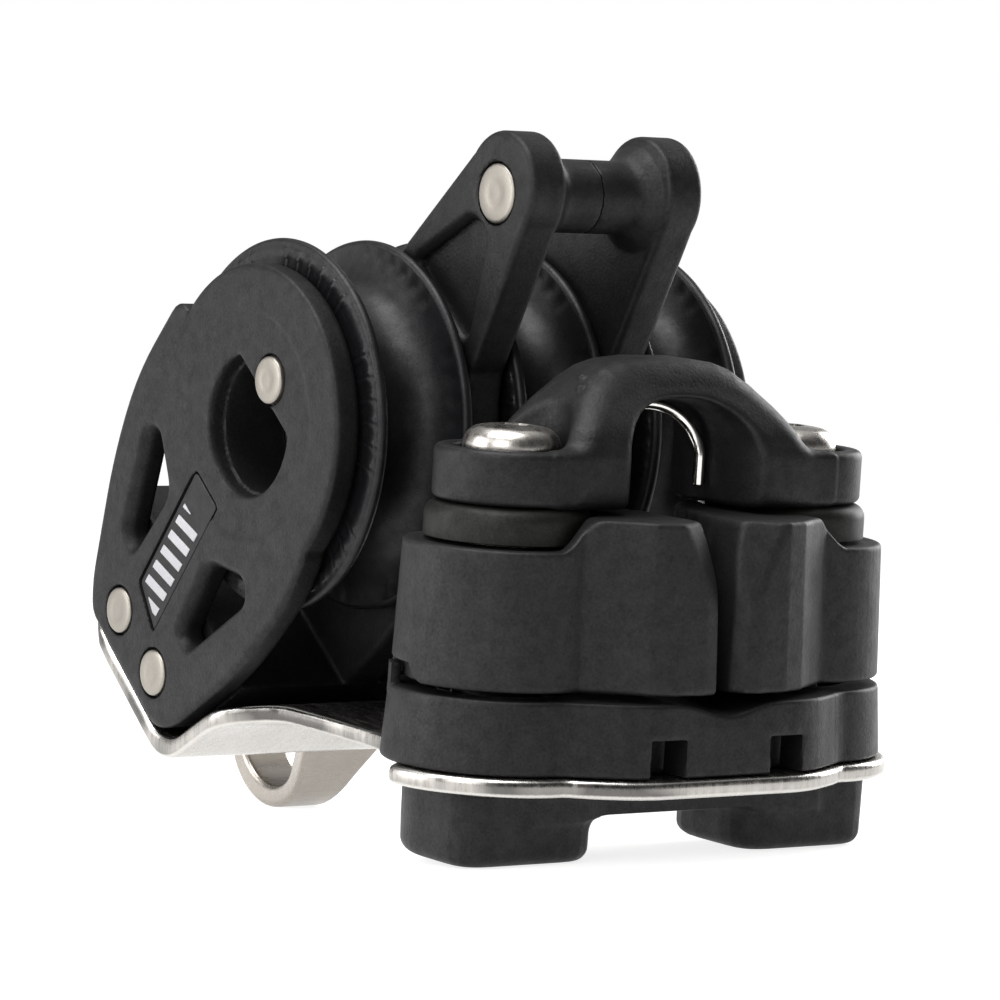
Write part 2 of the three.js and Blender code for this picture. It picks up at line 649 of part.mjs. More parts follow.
function archProfile() {
  const shape = new THREE.Shape();
  const side = [[16.4, EAR_Z1 - 0.5], [14.2, 37.6], [10.6, 41.3], [5.4, 43.2], [0, ARCH_TOP_Z]];
  shape.moveTo(16.4, EAR_Z0);
  shape.lineTo(...side[0]);
  shape.splineThru(side.slice(1).map(([x, z]) => new THREE.Vector2(x, z)));
  shape.splineThru(side.slice(0, -1).reverse().map(([x, z]) => new THREE.Vector2(-x, z)));
  shape.lineTo(-16.4, EAR_Z0);
  shape.closePath();
  return shape;
}

// Arch seen from the end: full depth at the ears, leaning in towards its top, more so in front.
function archEnd() {
  const deep = EAR_R - 0.1;
  return rounded([[deep, EAR_Z0, 0], [deep, 35, 2], [6.6, 40.5, 4], [3.4, 44.2, 3],
    [-3.0, 44.2, 3], [-5.2, 39.4, 4], [-deep, 33.6, 3], [-deep, EAR_Z0, 0]], 2);
}

function eyeOutline(halfW, top) {
  const shape = new THREE.Shape();
  const bottom = EAR_Z0 - 2;
  shape.moveTo(halfW, bottom);
  shape.lineTo(halfW, top - halfW * 0.95);
  shape.bezierCurveTo(halfW, top - 2.2, halfW * 0.62, top, 0, top);
  shape.bezierCurveTo(-halfW * 0.62, top, -halfW, top - 2.2, -halfW, top - halfW * 0.95);
  shape.lineTo(-halfW, bottom);
  shape.closePath();
  return shape;
}

const EYE_THROAT = { halfW: 7.35, top: 39.3 };
const WIRE_R = 0.65;

function fairlead() {
  const ears = [-POST_X, POST_X].map((x) => raise(circle(EAR_R, x, 0), EAR_Z0, EAR_Z1, 14));
  const bar = box(-POST_X, POST_X, -EAR_R + 0.1, EAR_R - 0.1, EAR_Z0, EAR_Z1);
  const arch = along(archProfile(), -EAR_R, EAR_R, 4).intersect(across(archEnd(), -17, 17, 3));
  const throat = along(eyeOutline(EYE_THROAT.halfW, EYE_THROAT.top), -12, 12, 5);
  const flares = [-1, 1].map((side) => {
    const mouth = along(eyeOutline(EYE_THROAT.halfW, EYE_THROAT.top), 0, 9, 5);
    const widened = mouth.warp((vertex) => {
      const reach = vertex[1] / 9;
      vertex[0] *= 1 + 0.08 * reach * reach;
      if (vertex[2] > EAR_Z0) vertex[2] += 1.1 * reach * reach;
    });
    return side > 0 ? widened : widened.mirror([0, 1, 0]);
  });
  const seats = [-POST_X, POST_X].map((x) => rodZ(SCREW_HEAD_R + 0.9, x, 0, SEAT_Z, 60, 24));
  return cut(join(arch, bar, ...ears), throat, ...flares, ...seats, ...screwHoles(20, 50));
}

// Hard-wearing wire that lines the top of the eye.
function fairleadWire() {
  const half = EYE_THROAT.halfW - WIRE_R - FIT_GAP;
  const top = EYE_THROAT.top - WIRE_R - FIT_GAP;
  const foot = EAR_Z0 + 0.3;
  const path = new THREE.CurvePath();
  const at = (x, z) => new THREE.Vector3(x, 0, z);
  const knee = top - half * 0.95;
  path.add(new THREE.LineCurve3(at(-half, foot), at(-half, knee)));
  path.add(new THREE.CubicBezierCurve3(at(-half, knee), at(-half, top - 2.0),
    at(-half * 0.6, top), at(0, top)));
  path.add(new THREE.CubicBezierCurve3(at(0, top), at(half * 0.6, top),
    at(half, top - 2.0), at(half, knee)));
  path.add(new THREE.LineCurve3(at(half, knee), at(half, foot)));
  const options = { steps: 24, curveSegments: 3, extrudePath: path };
  return solid(new THREE.ExtrudeGeometry(circle(WIRE_R), options));
}

// ---------------------------------------------------------------- cleat fasteners

function screw() {
  const z0 = SEAT_Z + FIT_GAP;
  const top = z0 + SCREW_HEAD_H;
  const body = turnedZ([[0, SCREW_END_Z], [SCREW_R - 0.5, SCREW_END_Z],
    [SCREW_R, SCREW_END_Z + 0.5], [SCREW_R, z0], [SCREW_HEAD_R, z0], [SCREW_HEAD_R, z0 + 2.3],
    [SCREW_HEAD_R - 0.4, z0 + 3.3], [SCREW_HEAD_R - 1.5, top - 0.15], [0, top]], 20);
  return cut(body, raise(hexagon(3.0), top - 2, top + 1, 1));
}

function nut() {
  const z0 = FOOT_Z + 0.3;
  const z1 = NUT_POCKET_TOP - FIT_GAP;
  return cut(raise(hexagon(NUT_FLATS), z0, z1, 1), rodZ(SCREW_R + 0.2, 0, 0, -20, 0, 16));
}

// ---------------------------------------------------------------- assembly

function place(parent, name, manifold, finish, x = 0) {
  const mesh = new THREE.Mesh(geometryOf(manifold), finish);
  mesh.name = name;
  mesh.position.x = x;
  parent.add(mesh);
  return mesh;
}

const block = new THREE.Group();
block.position.set(0, BLOCK_Y, BLOCK_Z);
block.rotation.x = BLOCK_TILT;
const rightPlate = innerPlate();
place(block, 'right_cheek', cheek(), BLACK);
place(block, 'left_cheek', mirroredX(cheek()), BLACK);
place(block, 'right_label', label(), LABEL);
place(block, 'left_label', mirroredX(label()), LABEL);
place(block, 'right_inner_plate', rightPlate, BLACK);
place(block, 'left_inner_plate', mirroredX(rightPlate), BLACK);
place(block, 'sheave_left', sheave(), SHEAVE_BLACK, -SHEAVE_PITCH);
place(block, 'sheave_middle', sheave(), SHEAVE_BLACK);
place(block, 'sheave_right', sheave(), SHEAVE_BLACK, SHEAVE_PITCH);
const blockRivet = rivet(RIVET_R, RIVET_HEAD_R, CHEEK_OUT);
place(block, 'hub_rivet', blockRivet.translate([0, 0, HUB_RIVET_U]), STEEL);
place(block, 'head_rivet_rear', blockRivet.translate([0, HEAD_RIVET_V, HEAD_RIVET_U]), STEEL);
place(block, 'head_rivet_front', blockRivet.translate([0, -HEAD_RIVET_V, HEAD_RIVET_U]), STEEL);
const becketRivet = rivet(BECKET_RIVET_R, BECKET_RIVET_HEAD_R, PLATE_OUT);
place(block, 'becket_rivet', becketRivet.translate([0, 0, BECKET_U]), STEEL);
place(block, 'head_eye', headEye(), STEEL);

const cleat = new THREE.Group();
cleat.add(block);
place(cleat, 'cleat_arm', cleatArm(), STEEL);
place(cleat, 'foot_block', footBlock(), BLACK);
place(cleat, 'cleat_base', cleatBase(), BLACK);
place(cleat, 'fairlead', fairlead(), BLACK);
place(cleat, 'fairlead_wire', fairleadWire(), STEEL);
for (const [word, side] of [['left', -1], ['right', 1]]) {
  const hand = (manifold) => (side < 0 ? manifold : mirroredX(manifold));
  place(cleat, `cam_${word}`, hand(cam()), BLACK, side * POST_X);
  place(cleat, `cam_spring_${word}`, hand(camSpring()), STEEL, side * POST_X);
  place(cleat, `cam_bush_${word}`, camBush(), ACETAL, side * POST_X);
  place(cleat, `cam_cap_${word}`, camCap(), OLIVE, side * POST_X);
  place(cleat, `cleat_screw_${word}`, screw(), STEEL, side * POST_X);
  place(cleat, `cleat_nut_${word}`, nut(), STEEL, side * POST_X);
}

// The standing tilt brings the front foot edges and the bottom of the head eye to one level.
const footEdge = new THREE.Vector2(-FOOT_HALF_D, FOOT_Z);
const eyeCentre = new THREE.Vector2(
  BLOCK_Y - Math.sin(BLOCK_TILT) * EYE_ARC_U, BLOCK_Z + Math.cos(BLOCK_TILT) * EYE_ARC_U);
const span = eyeCentre.clone().sub(footEdge);
const standTilt = Math.asin((EYE_IN + EYE_THICK) / span.length()) - Math.atan2(span.y, span.x);
cleat.rotation.x = standTilt;

const assembly = new THREE.Group();
assembly.add(cleat);
const bounds = new THREE.Box3().setFromObject(assembly, true);
cleat.position.set(0, -(bounds.min.y + bounds.max.y) / 2, -bounds.min.z);

export default assembly;
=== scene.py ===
"""Looks of a triple-sheave block with a becket, a head eye and a cam cleat on a bent steel arm.

Each moulded or formed piece is described by a signed distance in millimetres: below zero inside,
above zero outside. surface() turns that into a smooth closed mesh. Turned pieces are spun from a
profile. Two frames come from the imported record: the cleat frame has z = 0 on top of the steel arm
and z along the cleat screws, and the block frame has its origin on the sheave axis and z towards
the becket. In both, x runs along the sheave axis.
"""
import json
import math

import bpy
import numpy as np
from mathutils import Matrix, Vector


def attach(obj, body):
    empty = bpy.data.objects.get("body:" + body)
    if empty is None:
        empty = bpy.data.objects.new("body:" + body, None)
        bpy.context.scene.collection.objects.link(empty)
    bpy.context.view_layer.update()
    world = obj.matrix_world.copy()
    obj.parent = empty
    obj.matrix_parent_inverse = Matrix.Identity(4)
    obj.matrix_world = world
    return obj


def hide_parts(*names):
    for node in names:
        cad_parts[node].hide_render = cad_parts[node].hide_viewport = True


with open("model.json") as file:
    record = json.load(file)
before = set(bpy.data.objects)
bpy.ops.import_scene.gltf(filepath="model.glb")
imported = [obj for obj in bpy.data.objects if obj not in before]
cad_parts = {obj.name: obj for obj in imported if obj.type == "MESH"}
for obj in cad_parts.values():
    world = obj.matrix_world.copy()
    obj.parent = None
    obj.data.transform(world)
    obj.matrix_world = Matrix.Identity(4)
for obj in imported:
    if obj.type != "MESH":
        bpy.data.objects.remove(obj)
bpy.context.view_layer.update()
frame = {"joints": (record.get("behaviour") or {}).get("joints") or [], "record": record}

MM = 0.001
JOINTS = {joint["name"]: joint for joint in frame["joints"]}
MOUNTS = {mount["name"]: mount for mount in frame["record"]["mounts"]}
POST_MARK_Z = 15.0  # height above the arm of the point that the record gives for each cam's axis


def tilt_of(axis):
    return math.atan2(-axis[1], axis[2])


post_left = Vector(JOINTS["cam_left_swing"]["pos_m"])
post_right = Vector(JOINTS["cam_right_swing"]["pos_m"])
cleat_tilt = tilt_of(JOINTS["cam_left_swing"]["axis"])
CLEAT = (Matrix.Translation((post_left + post_right) / 2) @ Matrix.Rotation(cleat_tilt, 4, "X")
         @ Matrix.Scale(MM, 4) @ Matrix.Translation((0, 0, -POST_MARK_Z)))
block_tilt = tilt_of([-c for c in MOUNTS["arm_head_face"]["axis"]])
BLOCK = (Matrix.Translation(JOINTS["sheave_middle_spin"]["pos_m"])
         @ Matrix.Rotation(block_tilt, 4, "X") @ Matrix.Scale(MM, 4))

# ---------------------------------------------------------------- dimensions, millimetres
POST_X = (post_right.x - post_left.x) / 2 / MM
PITCH = JOINTS["sheave_right_spin"]["pos_m"][0] / MM
SHEAVE_R = 21.0
SHEAVE_HALF = 6.25
HUB_R = 10.6
CHEEK_IN, CHEEK_OUT, CHEEK_R = 25.6, 29.2, 18.1
PLATE_IN, PLATE_OUT = 6.95, 11.85
BORE_R, BORE_MOUTH_R, BORE_MOUTH_DEEP, BORE_FLAT = 7.6, 8.0, 2.3, 4.5
HUB_RIVET_U = 6.8
HEAD_RIVET_U, HEAD_RIVET_V = -34.45, 5.1
BECKET_U, BECKET_END_U, BECKET_END_R = 34.9, 35.6, 6.4
HEAD_BLOCK_U, HEAD_END = -25.8, -39.35
EYE_IN, EYE_THICK, EYE_BOTTOM_THICK, EYE_NECK, EYE_ARC_U = 7.5, 1.9, 2.8, 3.2, -50.6
EYE_FLARE, EYE_FLARE_U, EYE_FLARE_LONG = 2.7, -61, 20  # how much wider the strap gets, and where
EYE_CORNER_R = 2.2
RIVET_R, RIVET_HEAD_R, RIVET_HOLE_R, RIVET_SEAT = 2.3, 2.65, 2.45, 1.25
BECKET_RIVET_R, BECKET_RIVET_HEAD_R, SPOOL_R = 2.6, 3.3, 4.1
SHEAVE_SIDES = 288
TICK_R, TICK_HALF, TICK_HIGH = 19.4, 0.6, 0.13  # raised ticks round the sheave's flange
ARM_THICK, ARM_HEAD_HALF_W, ARM_WAIST = 2.0, 28.8, 21.2
ARM_RISE_Y, ARM_CREST_Y, ARM_CREST_Z = 13.0, 39.2, 1.1
ARM_HEAD_Y = 45  # the arm's head lies beyond this, and only the head is slotted
LOBE_R, FRONT_Y = 13.1, -17.7
LOBE_TRIM = [[21.6, 9.6], [32.3, 0.9], [36, 0.9], [36, 16], [21.6, 16]]
BASE_R, BASE_H, BASE_FRONT_Y = 12.3, 8.2, -17.2
CAM_Z0, CAM_SHELF, CAM_TOP, CAM_HUB_R, BUSH_R = 8.9, 23.8, 27.4, 11.6, 5.0
CAP_R, CAP_TOP = 9.0, 28.0
STOP_IN, STOP_OUT, STOP_TOP = 10.6, 11.8, 10.3
STOP_START, STOP_END = 140, 156  # degrees round the post on the -x side
NOTCH_START, NOTCH_END, NOTCH_DEEP = 137, 187, 2.0
NOTCH_SLANT = 5  # degrees that the notch's end moves back per millimetre of height
EAR_R, EAR_Z0, EAR_Z1, ARCH_TOP, SEAT_Z = 8.3, 28.15, 34.0, 43.7, 32.0
SCREW_R, SCREW_HEAD_R, SCREW_HEAD_H, SCREW_END = 2.45, 5.3, 4.3, -9.7
FOOT_Z, FOOT_SLAB_Z, FOOT_HALF_D, FOOT_R, FOOT_INNER_X = -10.15, -5.0, 8.2, 9.3, 9.7
NUT_FLATS, NUT_POCKET_TOP = 8.0, -5.4
FIT = 0.15  # gap between clamped pieces
RUN = 0.35  # gap between pieces that turn on each other

# ---------------------------------------------------------------- distances


def smooth_min(a, b, k):
    h = np.clip(0.5 + 0.5 * (b - a) / k, 0, 1)
    return b + (a - b) * h - k * h * (1 - h)


def smooth_max(a, b, k):
    return -smooth_min(-a, -b, k)


def cut(a, b, k=0.35):
    return smooth_max(a, -b, k)


def smoothstep(t):
    t = np.clip(t, 0, 1)
    return t * t * (3 - 2 * t)


def prism(outline, t, low, high, edge):
    """A flat outline distance, raised from low to high along t, with its edges rounded."""
    a = outline + edge
    b = np.abs(t - (low + high) / 2) - (high - low) / 2 + edge
    return np.minimum(np.maximum(a, b), 0) + np.hypot(np.maximum(a, 0), np.maximum(b, 0)) - edge


def slab(t, low, high):
    return np.abs(t - (low + high) / 2) - (high - low) / 2


def polygon(a, b, points):
    """Distance to a closed outline through points."""
    inside = np.zeros(a.shape, bool)
    best = np.full(a.shape, 1e12)
    previous = points[-1]
    for current in points:
        ea, eb = current[0] - previous[0], current[1] - previous[1]
        length = ea * ea + eb * eb
        if length > 1e-12:
            wa, wb = a - previous[0], b - previous[1]
            t = np.clip((wa * ea + wb * eb) / length, 0, 1)
            best = np.minimum(best, (wa - t * ea) ** 2 + (wb - t * eb) ** 2)
            crosses = (previous[1] > b) != (current[1] > b)
            if abs(eb) > 1e-12:
                inside ^= crosses & (a < previous[0] + (b - previous[1]) * ea / eb)
        previous = current
    return np.where(inside, -1, 1) * np.sqrt(best)


def rounded(corners, radius=1.0, steps=5):
    """Outline points through corners [a, b, radius], each corner rounded."""
    points = []
    count = len(corners)
    for i, corner in enumerate(corners):
        here = Vector(corner[:2])
        before = Vector(corners[i - 1][:2]) - here
        after = Vector(corners[(i + 1) % count][:2]) - here
        reach = min(corner[2] if len(corner) > 2 else radius, before.length * 0.48, after.length * 0.48)
        start, end = here + before.normalized() * reach, here + after.normalized() * reach
        for step in range(steps + 1):
            t = step / steps
            points.append(tuple(start * (1 - t) ** 2 + here * 2 * t * (1 - t) + end * t * t))
    return points


def both_sides(half):
    """The half outline [a, b, radius], closed with its mirror image in a."""
    return half + [[-a, b, r] for a, b, r in reversed(half)]


# ---------------------------------------------------------------- from distance to mesh


def sample_blocks(distance, low, shape, step):
    """Distance on the grid, worked out only in the blocks that the surface can reach."""
    size = 8
    field = np.empty(shape, np.float32)
    spans = [range(0, n, size) for n in shape]
    corners = np.array([(i, j, k) for i in spans[0] for j in spans[1] for k in spans[2]])
    middle = low + (corners + (size - 1) / 2) * step
    at_middle = distance(*middle.T)
    reach = size * step * 1.35
    offsets = np.stack(np.meshgrid(*[np.arange(size)] * 3, indexing="ij"), -1).reshape(-1, 3)
    near = np.abs(at_middle) < reach
    for (i, j, k), value in zip(corners[~near], at_middle[~near]):
        field[i:i + size, j:j + size, k:k + size] = value
    busy = corners[near]
    for first in range(0, len(busy), 400):
        index = (busy[first:first + 400, None, :] + offsets[None]).reshape(-1, 3)
        index = index[(index < shape).all(1)]
        values = distance(*(low + index * step).T)
        field[index[:, 0], index[:, 1], index[:, 2]] = values
    return field


def surface(distance, low, high, step):
    """Vertices and quads of the surface where distance is zero, by surface nets."""
    step *= 1
    low = np.array(low, float) - 2.5 * step
    shape = np.ceil((np.array(high, float) - low) / step).astype(int) + 4
    field = sample_blocks(distance, low, shape, step)
    inside = field < 0
    total = np.zeros(shape - 1)
    centre = np.zeros((*(shape - 1), 3), np.float32)
    base = np.stack(np.meshgrid(*[np.arange(n - 1) for n in shape], indexing="ij"), -1)

    def at_corner(i, j, k):
        """Distance at one corner of every cell."""
        return field[i:shape[0] - 1 + i, j:shape[1] - 1 + j, k:shape[2] - 1 + k]

    for axis in range(3):
        others = [a for a in range(3) if a != axis]
        for p in (0, 1):
            for q in (0, 1):
                start = [0, 0, 0]
                start[others[0]], start[others[1]] = p, q
                end = list(start)
                end[axis] = 1
                f0, f1 = at_corner(*start), at_corner(*end)
                crossed = (f0 < 0) != (f1 < 0)
                share = np.where(crossed, f0 / np.where(crossed, f0 - f1, 1), 0)
                total += crossed
                for a in range(3):
                    centre[..., a] += crossed * (start[a] + (share if a == axis else 0))
    used = total > 0
    number = np.full(used.shape, -1)
    number[used] = np.arange(used.sum())
    points = low + (base[used] + centre[used] / total[used][:, None]) * step
    for _ in range(2):
        value = distance(*points.T)
        probe = 0.03
        slope = np.stack([(distance(*(points + probe * unit).T) - value) / probe for unit in np.eye(3)], 1)
        move = slope * (value / np.maximum((slope ** 2).sum(1), 0.05))[:, None]
        points -= np.clip(move, -0.5 * step, 0.5 * step)
    faces = []
    for axis in range(3):
        b, c = (axis + 1) % 3, (axis + 2) % 3
        head = [slice(1, -1)] * 3
        tail = [slice(1, -1)] * 3
        head[axis], tail[axis] = slice(0, -1), slice(1, None)
        here, there = inside[tuple(head)], inside[tuple(tail)]
        for outward in (True, False):
            cells = np.argwhere((here != there) & (here == outward))
            for a in (b, c):
                cells[:, a] += 1
            ring = []
            for db, dc in ((0, 0), (-1, 0), (-1, -1), (0, -1)):
                cell = cells.copy()
                cell[:, b] += db
                cell[:, c] += dc
                ring.append(number[tuple(cell.T)])
            faces.append(np.stack(ring if outward else ring[::-1], 1))
    return points, np.concatenate(faces)


def add_piece(name, points, faces, place, body, slot, replaces, material, keep=1.0, flat_below=40):
    """A smooth mesh object in the row frame, riding on a body and standing for CAD nodes."""
    mesh = bpy.data.meshes.new(name)
    world = np.c_[points, np.ones(len(points))] @ np.array(place).T
    mesh.from_pydata(world[:, :3].tolist(), [], [list(map(int, face)) for face in faces])
    mesh.validate()
    piece = bpy.data.objects.new(name, mesh)
    bpy.context.scene.collection.objects.link(piece)
    if keep < 1:
        shrink = piece.modifiers.new("fewer_faces", "DECIMATE")
        shrink.ratio = keep
        bpy.context.view_layer.objects.active = piece
        piece.select_set(True)
        bpy.ops.object.modifier_apply(modifier=shrink.name)
        piece.select_set(False)
        mesh = piece.data
    mesh.shade_smooth()
    mesh.set_sharp_from_angle(angle=math.radians(flat_below))
    mesh.materials.append(material)
    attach(piece, body)
    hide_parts(*replaces)
    return piece


def as_is(points, faces):
    return points, faces


def mirrored(points, faces):
    return points * [-1, 1, 1], [face[::-1] for face in faces]


def spun(profile, axis, sides=128):
    """A turned solid from [radius, height] points that start and end on the axis or meet."""
    rings = [p for p in profile if p[0] > 1e-6]
    closed = profile[0][0] > 1e-6
    angles = np.arange(sides) * 2 * math.pi / sides
    points = []
    for radius, height in rings:
        points += [(radius * math.cos(t), radius * math.sin(t), height) for t in angles]
    faces = []
    pairs = [(i, i + 1) for i in range(len(rings) - 1)]
    if closed:
        pairs.append((len(rings) - 1, 0))
    for i, j in pairs:
        for s in range(sides):
            t = (s + 1) % sides
            faces.append((i * sides + s, i * sides + t, j * sides + t, j * sides + s))
    if not closed:
        for ring, flip in ((0, True), (len(rings) - 1, False)):
            points.append((0, 0, profile[0][1] if flip else profile[-1][1]))
            tip = len(points) - 1
            for s in range(sides):
                t = (s + 1) % sides
                a, b = ring * sides + s, ring * sides + t
                faces.append((tip, b, a, a) if flip else (tip, a, b, b))
    points = np.array(points)
    if axis == "X":
        points = points[:, [2, 0, 1]]
    faces = [tuple(dict.fromkeys(f)) for f in faces]
    return points, faces


# ---------------------------------------------------------------- materials


def node(tree, kind, **values):
    made = tree.nodes.new(kind)
    for key, value in values.items():
        if hasattr(made, key):
            setattr(made, key, value)
        else:
            made.inputs[key.replace("_", " ")].default_value = value
    return made


def grey(value, tint=(1, 1, 1)):
    return (value * tint[0], value * tint[1], value * tint[2], 1)


def noise(tree, scale, detail=3.0, stretch=(1, 1, 1)):
    place = node(tree, "ShaderNodeTexCoord")
    mapping = node(tree, "ShaderNodeMapping")
    mapping.inputs["Scale"].default_value = stretch
    tree.links.new(place.outputs["Object"], mapping.inputs["Vector"])
    made = node(tree, "ShaderNodeTexNoise", Scale=scale, Detail=detail, Roughness=0.6)
    tree.links.new(mapping.outputs["Vector"], made.inputs["Vector"])
    return made.outputs["Fac"]


def ramp(tree, source, stops):
    made = node(tree, "ShaderNodeValToRGB")
    elements = made.color_ramp.elements
    while len(elements) < len(stops):
        elements.new(0.5)
    for element, (position, colour) in zip(elements, stops):
        element.position = position
        element.color = colour
    tree.links.new(source, made.inputs["Fac"])
    return made.outputs["Color"]


def spread(tree, source, low, high):
    made = node(tree, "ShaderNodeMapRange")
    made.inputs["From Min"].default_value = 0.3
    made.inputs["From Max"].default_value = 0.7
    made.inputs["To Min"].default_value = low
    made.inputs["To Max"].default_value = high
    tree.links.new(source, made.inputs["Value"])
    return made.outputs["Result"]


def mix(tree, share, a, b):
    made = node(tree, "ShaderNodeMix", data_type="RGBA")
    for value, socket in ((share, made.inputs[0]), (a, made.inputs[6]), (b, made.inputs[7])):
        if isinstance(value, bpy.types.NodeSocket):
            tree.links.new(value, socket)
        else:
            socket.default_value = value
    return made.outputs[2]


def new_material(name):
    material = bpy.data.materials.new(name)
    material.use_nodes = True
    return material, material.node_tree, material.node_tree.nodes["Principled BSDF"]


def add_bumps(tree, shader, layers):
    """layers are (source, height in metres, strength), from coarse to fine."""
    normal = None
    for source, height, strength in layers:
        made = node(tree, "ShaderNodeBump", Strength=strength, Distance=height)
        tree.links.new(source, made.inputs["Height"])
        if normal is not None:
            tree.links.new(normal, made.inputs["Normal"])
        normal = made.outputs["Normal"]
    tree.links.new(normal, shader.inputs["Normal"])


def moulded(name, dark, light, rough, grain=2600, grain_height=0.00006, tint=(1, 1, 1.04), shine=0.22):
    """Moulded plastic: fine speckle, a cloudy sheen, faint pale scuffs and a spark-eroded grain."""
    material, tree, shader = new_material(name)
    speckle = ramp(tree, noise(tree, grain * 1.6, 2), [(0.42, grey(dark, tint)), (0.72, grey(light, tint))])
    cloud = ramp(tree, noise(tree, 90, 4), [(0.3, grey(dark * 0.85, tint)), (0.7, grey(light * 0.9, tint))])
    colour = mix(tree, 0.5, speckle, cloud)
    scuffs = ramp(tree, noise(tree, 420, 6, (1, 0.35, 1)), [(0.64, grey(0)), (0.74, grey(0.6))])
    colour = mix(tree, scuffs, colour, grey(light * 1.5, tint))
    tree.links.new(colour, shader.inputs["Base Color"])
    dullness = spread(tree, noise(tree, 240, 5), rough - 0.05, rough + 0.09)
    tree.links.new(dullness, shader.inputs["Roughness"])
    mottle = mix(tree, 0.5, noise(tree, 620, 6), noise(tree, grain * 1.3, 2))
    tree.links.new(spread(tree, mottle, shine * 0.55, shine * 1.45), shader.inputs["Specular IOR Level"])
    add_bumps(tree, shader, [(noise(tree, 130, 2), 0.00008, 0.2),
                             (noise(tree, grain, 3), grain_height, 0.8)])
    return material


def steel(name, rough, brush=(1, 1, 1), brush_scale=900, brush_height=0.000008, tint=(0.78, 0.76, 0.72)):
    """Stainless steel with a fine directional finish, faint stains and small dings."""
    material, tree, shader = new_material(name)
    streak = noise(tree, brush_scale, 4, brush)
    cloud = noise(tree, 140, 4)
    colour = ramp(tree, cloud, [(0.3, grey(0.86, tint)), (0.7, grey(1.0, tint))])
    colour = mix(tree, ramp(tree, streak, [(0.35, grey(0)), (0.65, grey(0.35))]), colour, grey(0.85, tint))
    tree.links.new(colour, shader.inputs["Base Color"])
    shader.inputs["Metallic"].default_value = 1.0
    tree.links.new(spread(tree, streak, rough - 0.06, rough + 0.08), shader.inputs["Roughness"])
    add_bumps(tree, shader, [(cloud, 0.00004, 0.2), (streak, brush_height, 0.6)])
    return material


def cut_edge(material, rough):
    """Dulls the sheet's cut edges, with streaks that run down them and dark stains."""
    tree = material.node_tree
    shader = tree.nodes["Principled BSDF"]
    split = node(tree, "ShaderNodeSeparateXYZ")
    tree.links.new(node(tree, "ShaderNodeNewGeometry").outputs["Normal"], split.inputs["Vector"])
    upward = node(tree, "ShaderNodeMath", operation="ABSOLUTE")
    tree.links.new(split.outputs["Z"], upward.inputs[0])
    edge = ramp(tree, upward.outputs[0], [(0.3, grey(1)), (0.55, grey(0))])
    streak = noise(tree, 1500, 3, (1, 1, 0.05))
    dull = ramp(tree, streak, [(0.35, (0.32, 0.305, 0.285, 1)), (0.65, (0.42, 0.4, 0.375, 1))])
    stain = ramp(tree, noise(tree, 55, 2), [(0.42, grey(1)), (0.5, grey(0))])
    dull = mix(tree, stain, dull, (0.12, 0.115, 0.11, 1))
    uneven = spread(tree, streak, rough - 0.08, rough + 0.1)
    for name, value in (("Base Color", dull), ("Roughness", uneven)):
        before = shader.inputs[name].links[0].from_socket
        tree.links.new(mix(tree, edge, before, value), shader.inputs[name])
    return material


BODY = moulded("body_nylon_black", 0.0045, 0.0075, 0.47, tint=(1.04, 0.98, 1.06))
SHEAVE = moulded("sheave_nylon_black", 0.004, 0.006, 0.42, grain=3600, grain_height=0.00002,
                 tint=(0.94, 0.98, 1.12), shine=0.26)
CAM = moulded("cam_nylon_black", 0.006, 0.011, 0.5, grain=2200, grain_height=0.00006, tint=(1.04, 1, 1.02))
CAP = moulded("cap_olive", 0.003, 0.0045, 0.5, grain=3000, grain_height=0.00001, tint=(1.05, 1.1, 0.7))
ARM_STEEL = cut_edge(steel("arm_steel", 0.24, brush=(1, 0.12, 1), brush_scale=1400, brush_height=0.000002,
                           tint=(0.62, 0.6, 0.57)), 0.28)
EYE_STEEL = steel("eye_steel", 0.28, brush=(0.15, 1, 1), brush_scale=1500, brush_height=0.000002,
                  tint=(0.38, 0.35, 0.315))
RIVET_STEEL = steel("rivet_steel", 0.42, brush_scale=2600, tint=(0.31, 0.288, 0.255))
SCREW_STEEL = steel("screw_steel", 0.27, brush_scale=1200, brush_height=0.000006, tint=(0.48, 0.455, 0.425))
WIRE_STEEL = steel("wire_steel", 0.14, brush_scale=1200, brush_height=0.000006)
ACETAL = moulded("bush_acetal", 0.6, 0.68, 0.4, tint=(1, 0.98, 0.9))
LABEL_BASE = moulded("label_black", 0.006, 0.01, 0.36, grain=4000, grain_height=0.00001)
LABEL_MARK = moulded("label_stripe", 0.3, 0.4, 0.45, grain=4000, grain_height=0.00001)

# ---------------------------------------------------------------- block

TAIL = rounded([[9.8, HEAD_END, 1.5], [12.4, -36.2, 2.5], [18.8, -22.5, 9], [21.5, -12, 9],
                [20.6, 0.9, 2.4], [-18.3, -2.6, 1], [-19.2, -9, 6], [-17.6, -22, 9], [-12.2, -36.2, 2.5],
                [-9.3, HEAD_END, 2]], 2)
WINDOW = [[5.9, -17.2, 1.6], [12.2, -13.6, 2.2], [14.0, -15.0, 2.2], [9.4, -27.2, 2.0], [6.8, -27.4, 1.6]]
WINDOW_SHIFT = 1.1
LABEL = rounded([[-2.0, -31.2], [4.4, -29.0], [4.4, -11.0], [-2.0, -11.0]], 0.8)
LABEL_DEEP = 0.9


def bore(v, u, radius=BORE_R):
    round_part = np.hypot(v, u) - radius
    bulge = np.hypot(v, u - HUB_RIVET_U) - 3.2
    return smooth_max(smooth_max(round_part, u - BORE_FLAT, 0.5), -bulge, 0.5)


def rivet_holes(v, u):
    holes = [np.hypot(v - at_v, u - at_u) - RIVET_HOLE_R for at_v, at_u in
             ((0, HUB_RIVET_U), (HEAD_RIVET_V, HEAD_RIVET_U), (-HEAD_RIVET_V, HEAD_RIVET_U))]
    return np.minimum.reduce(holes)


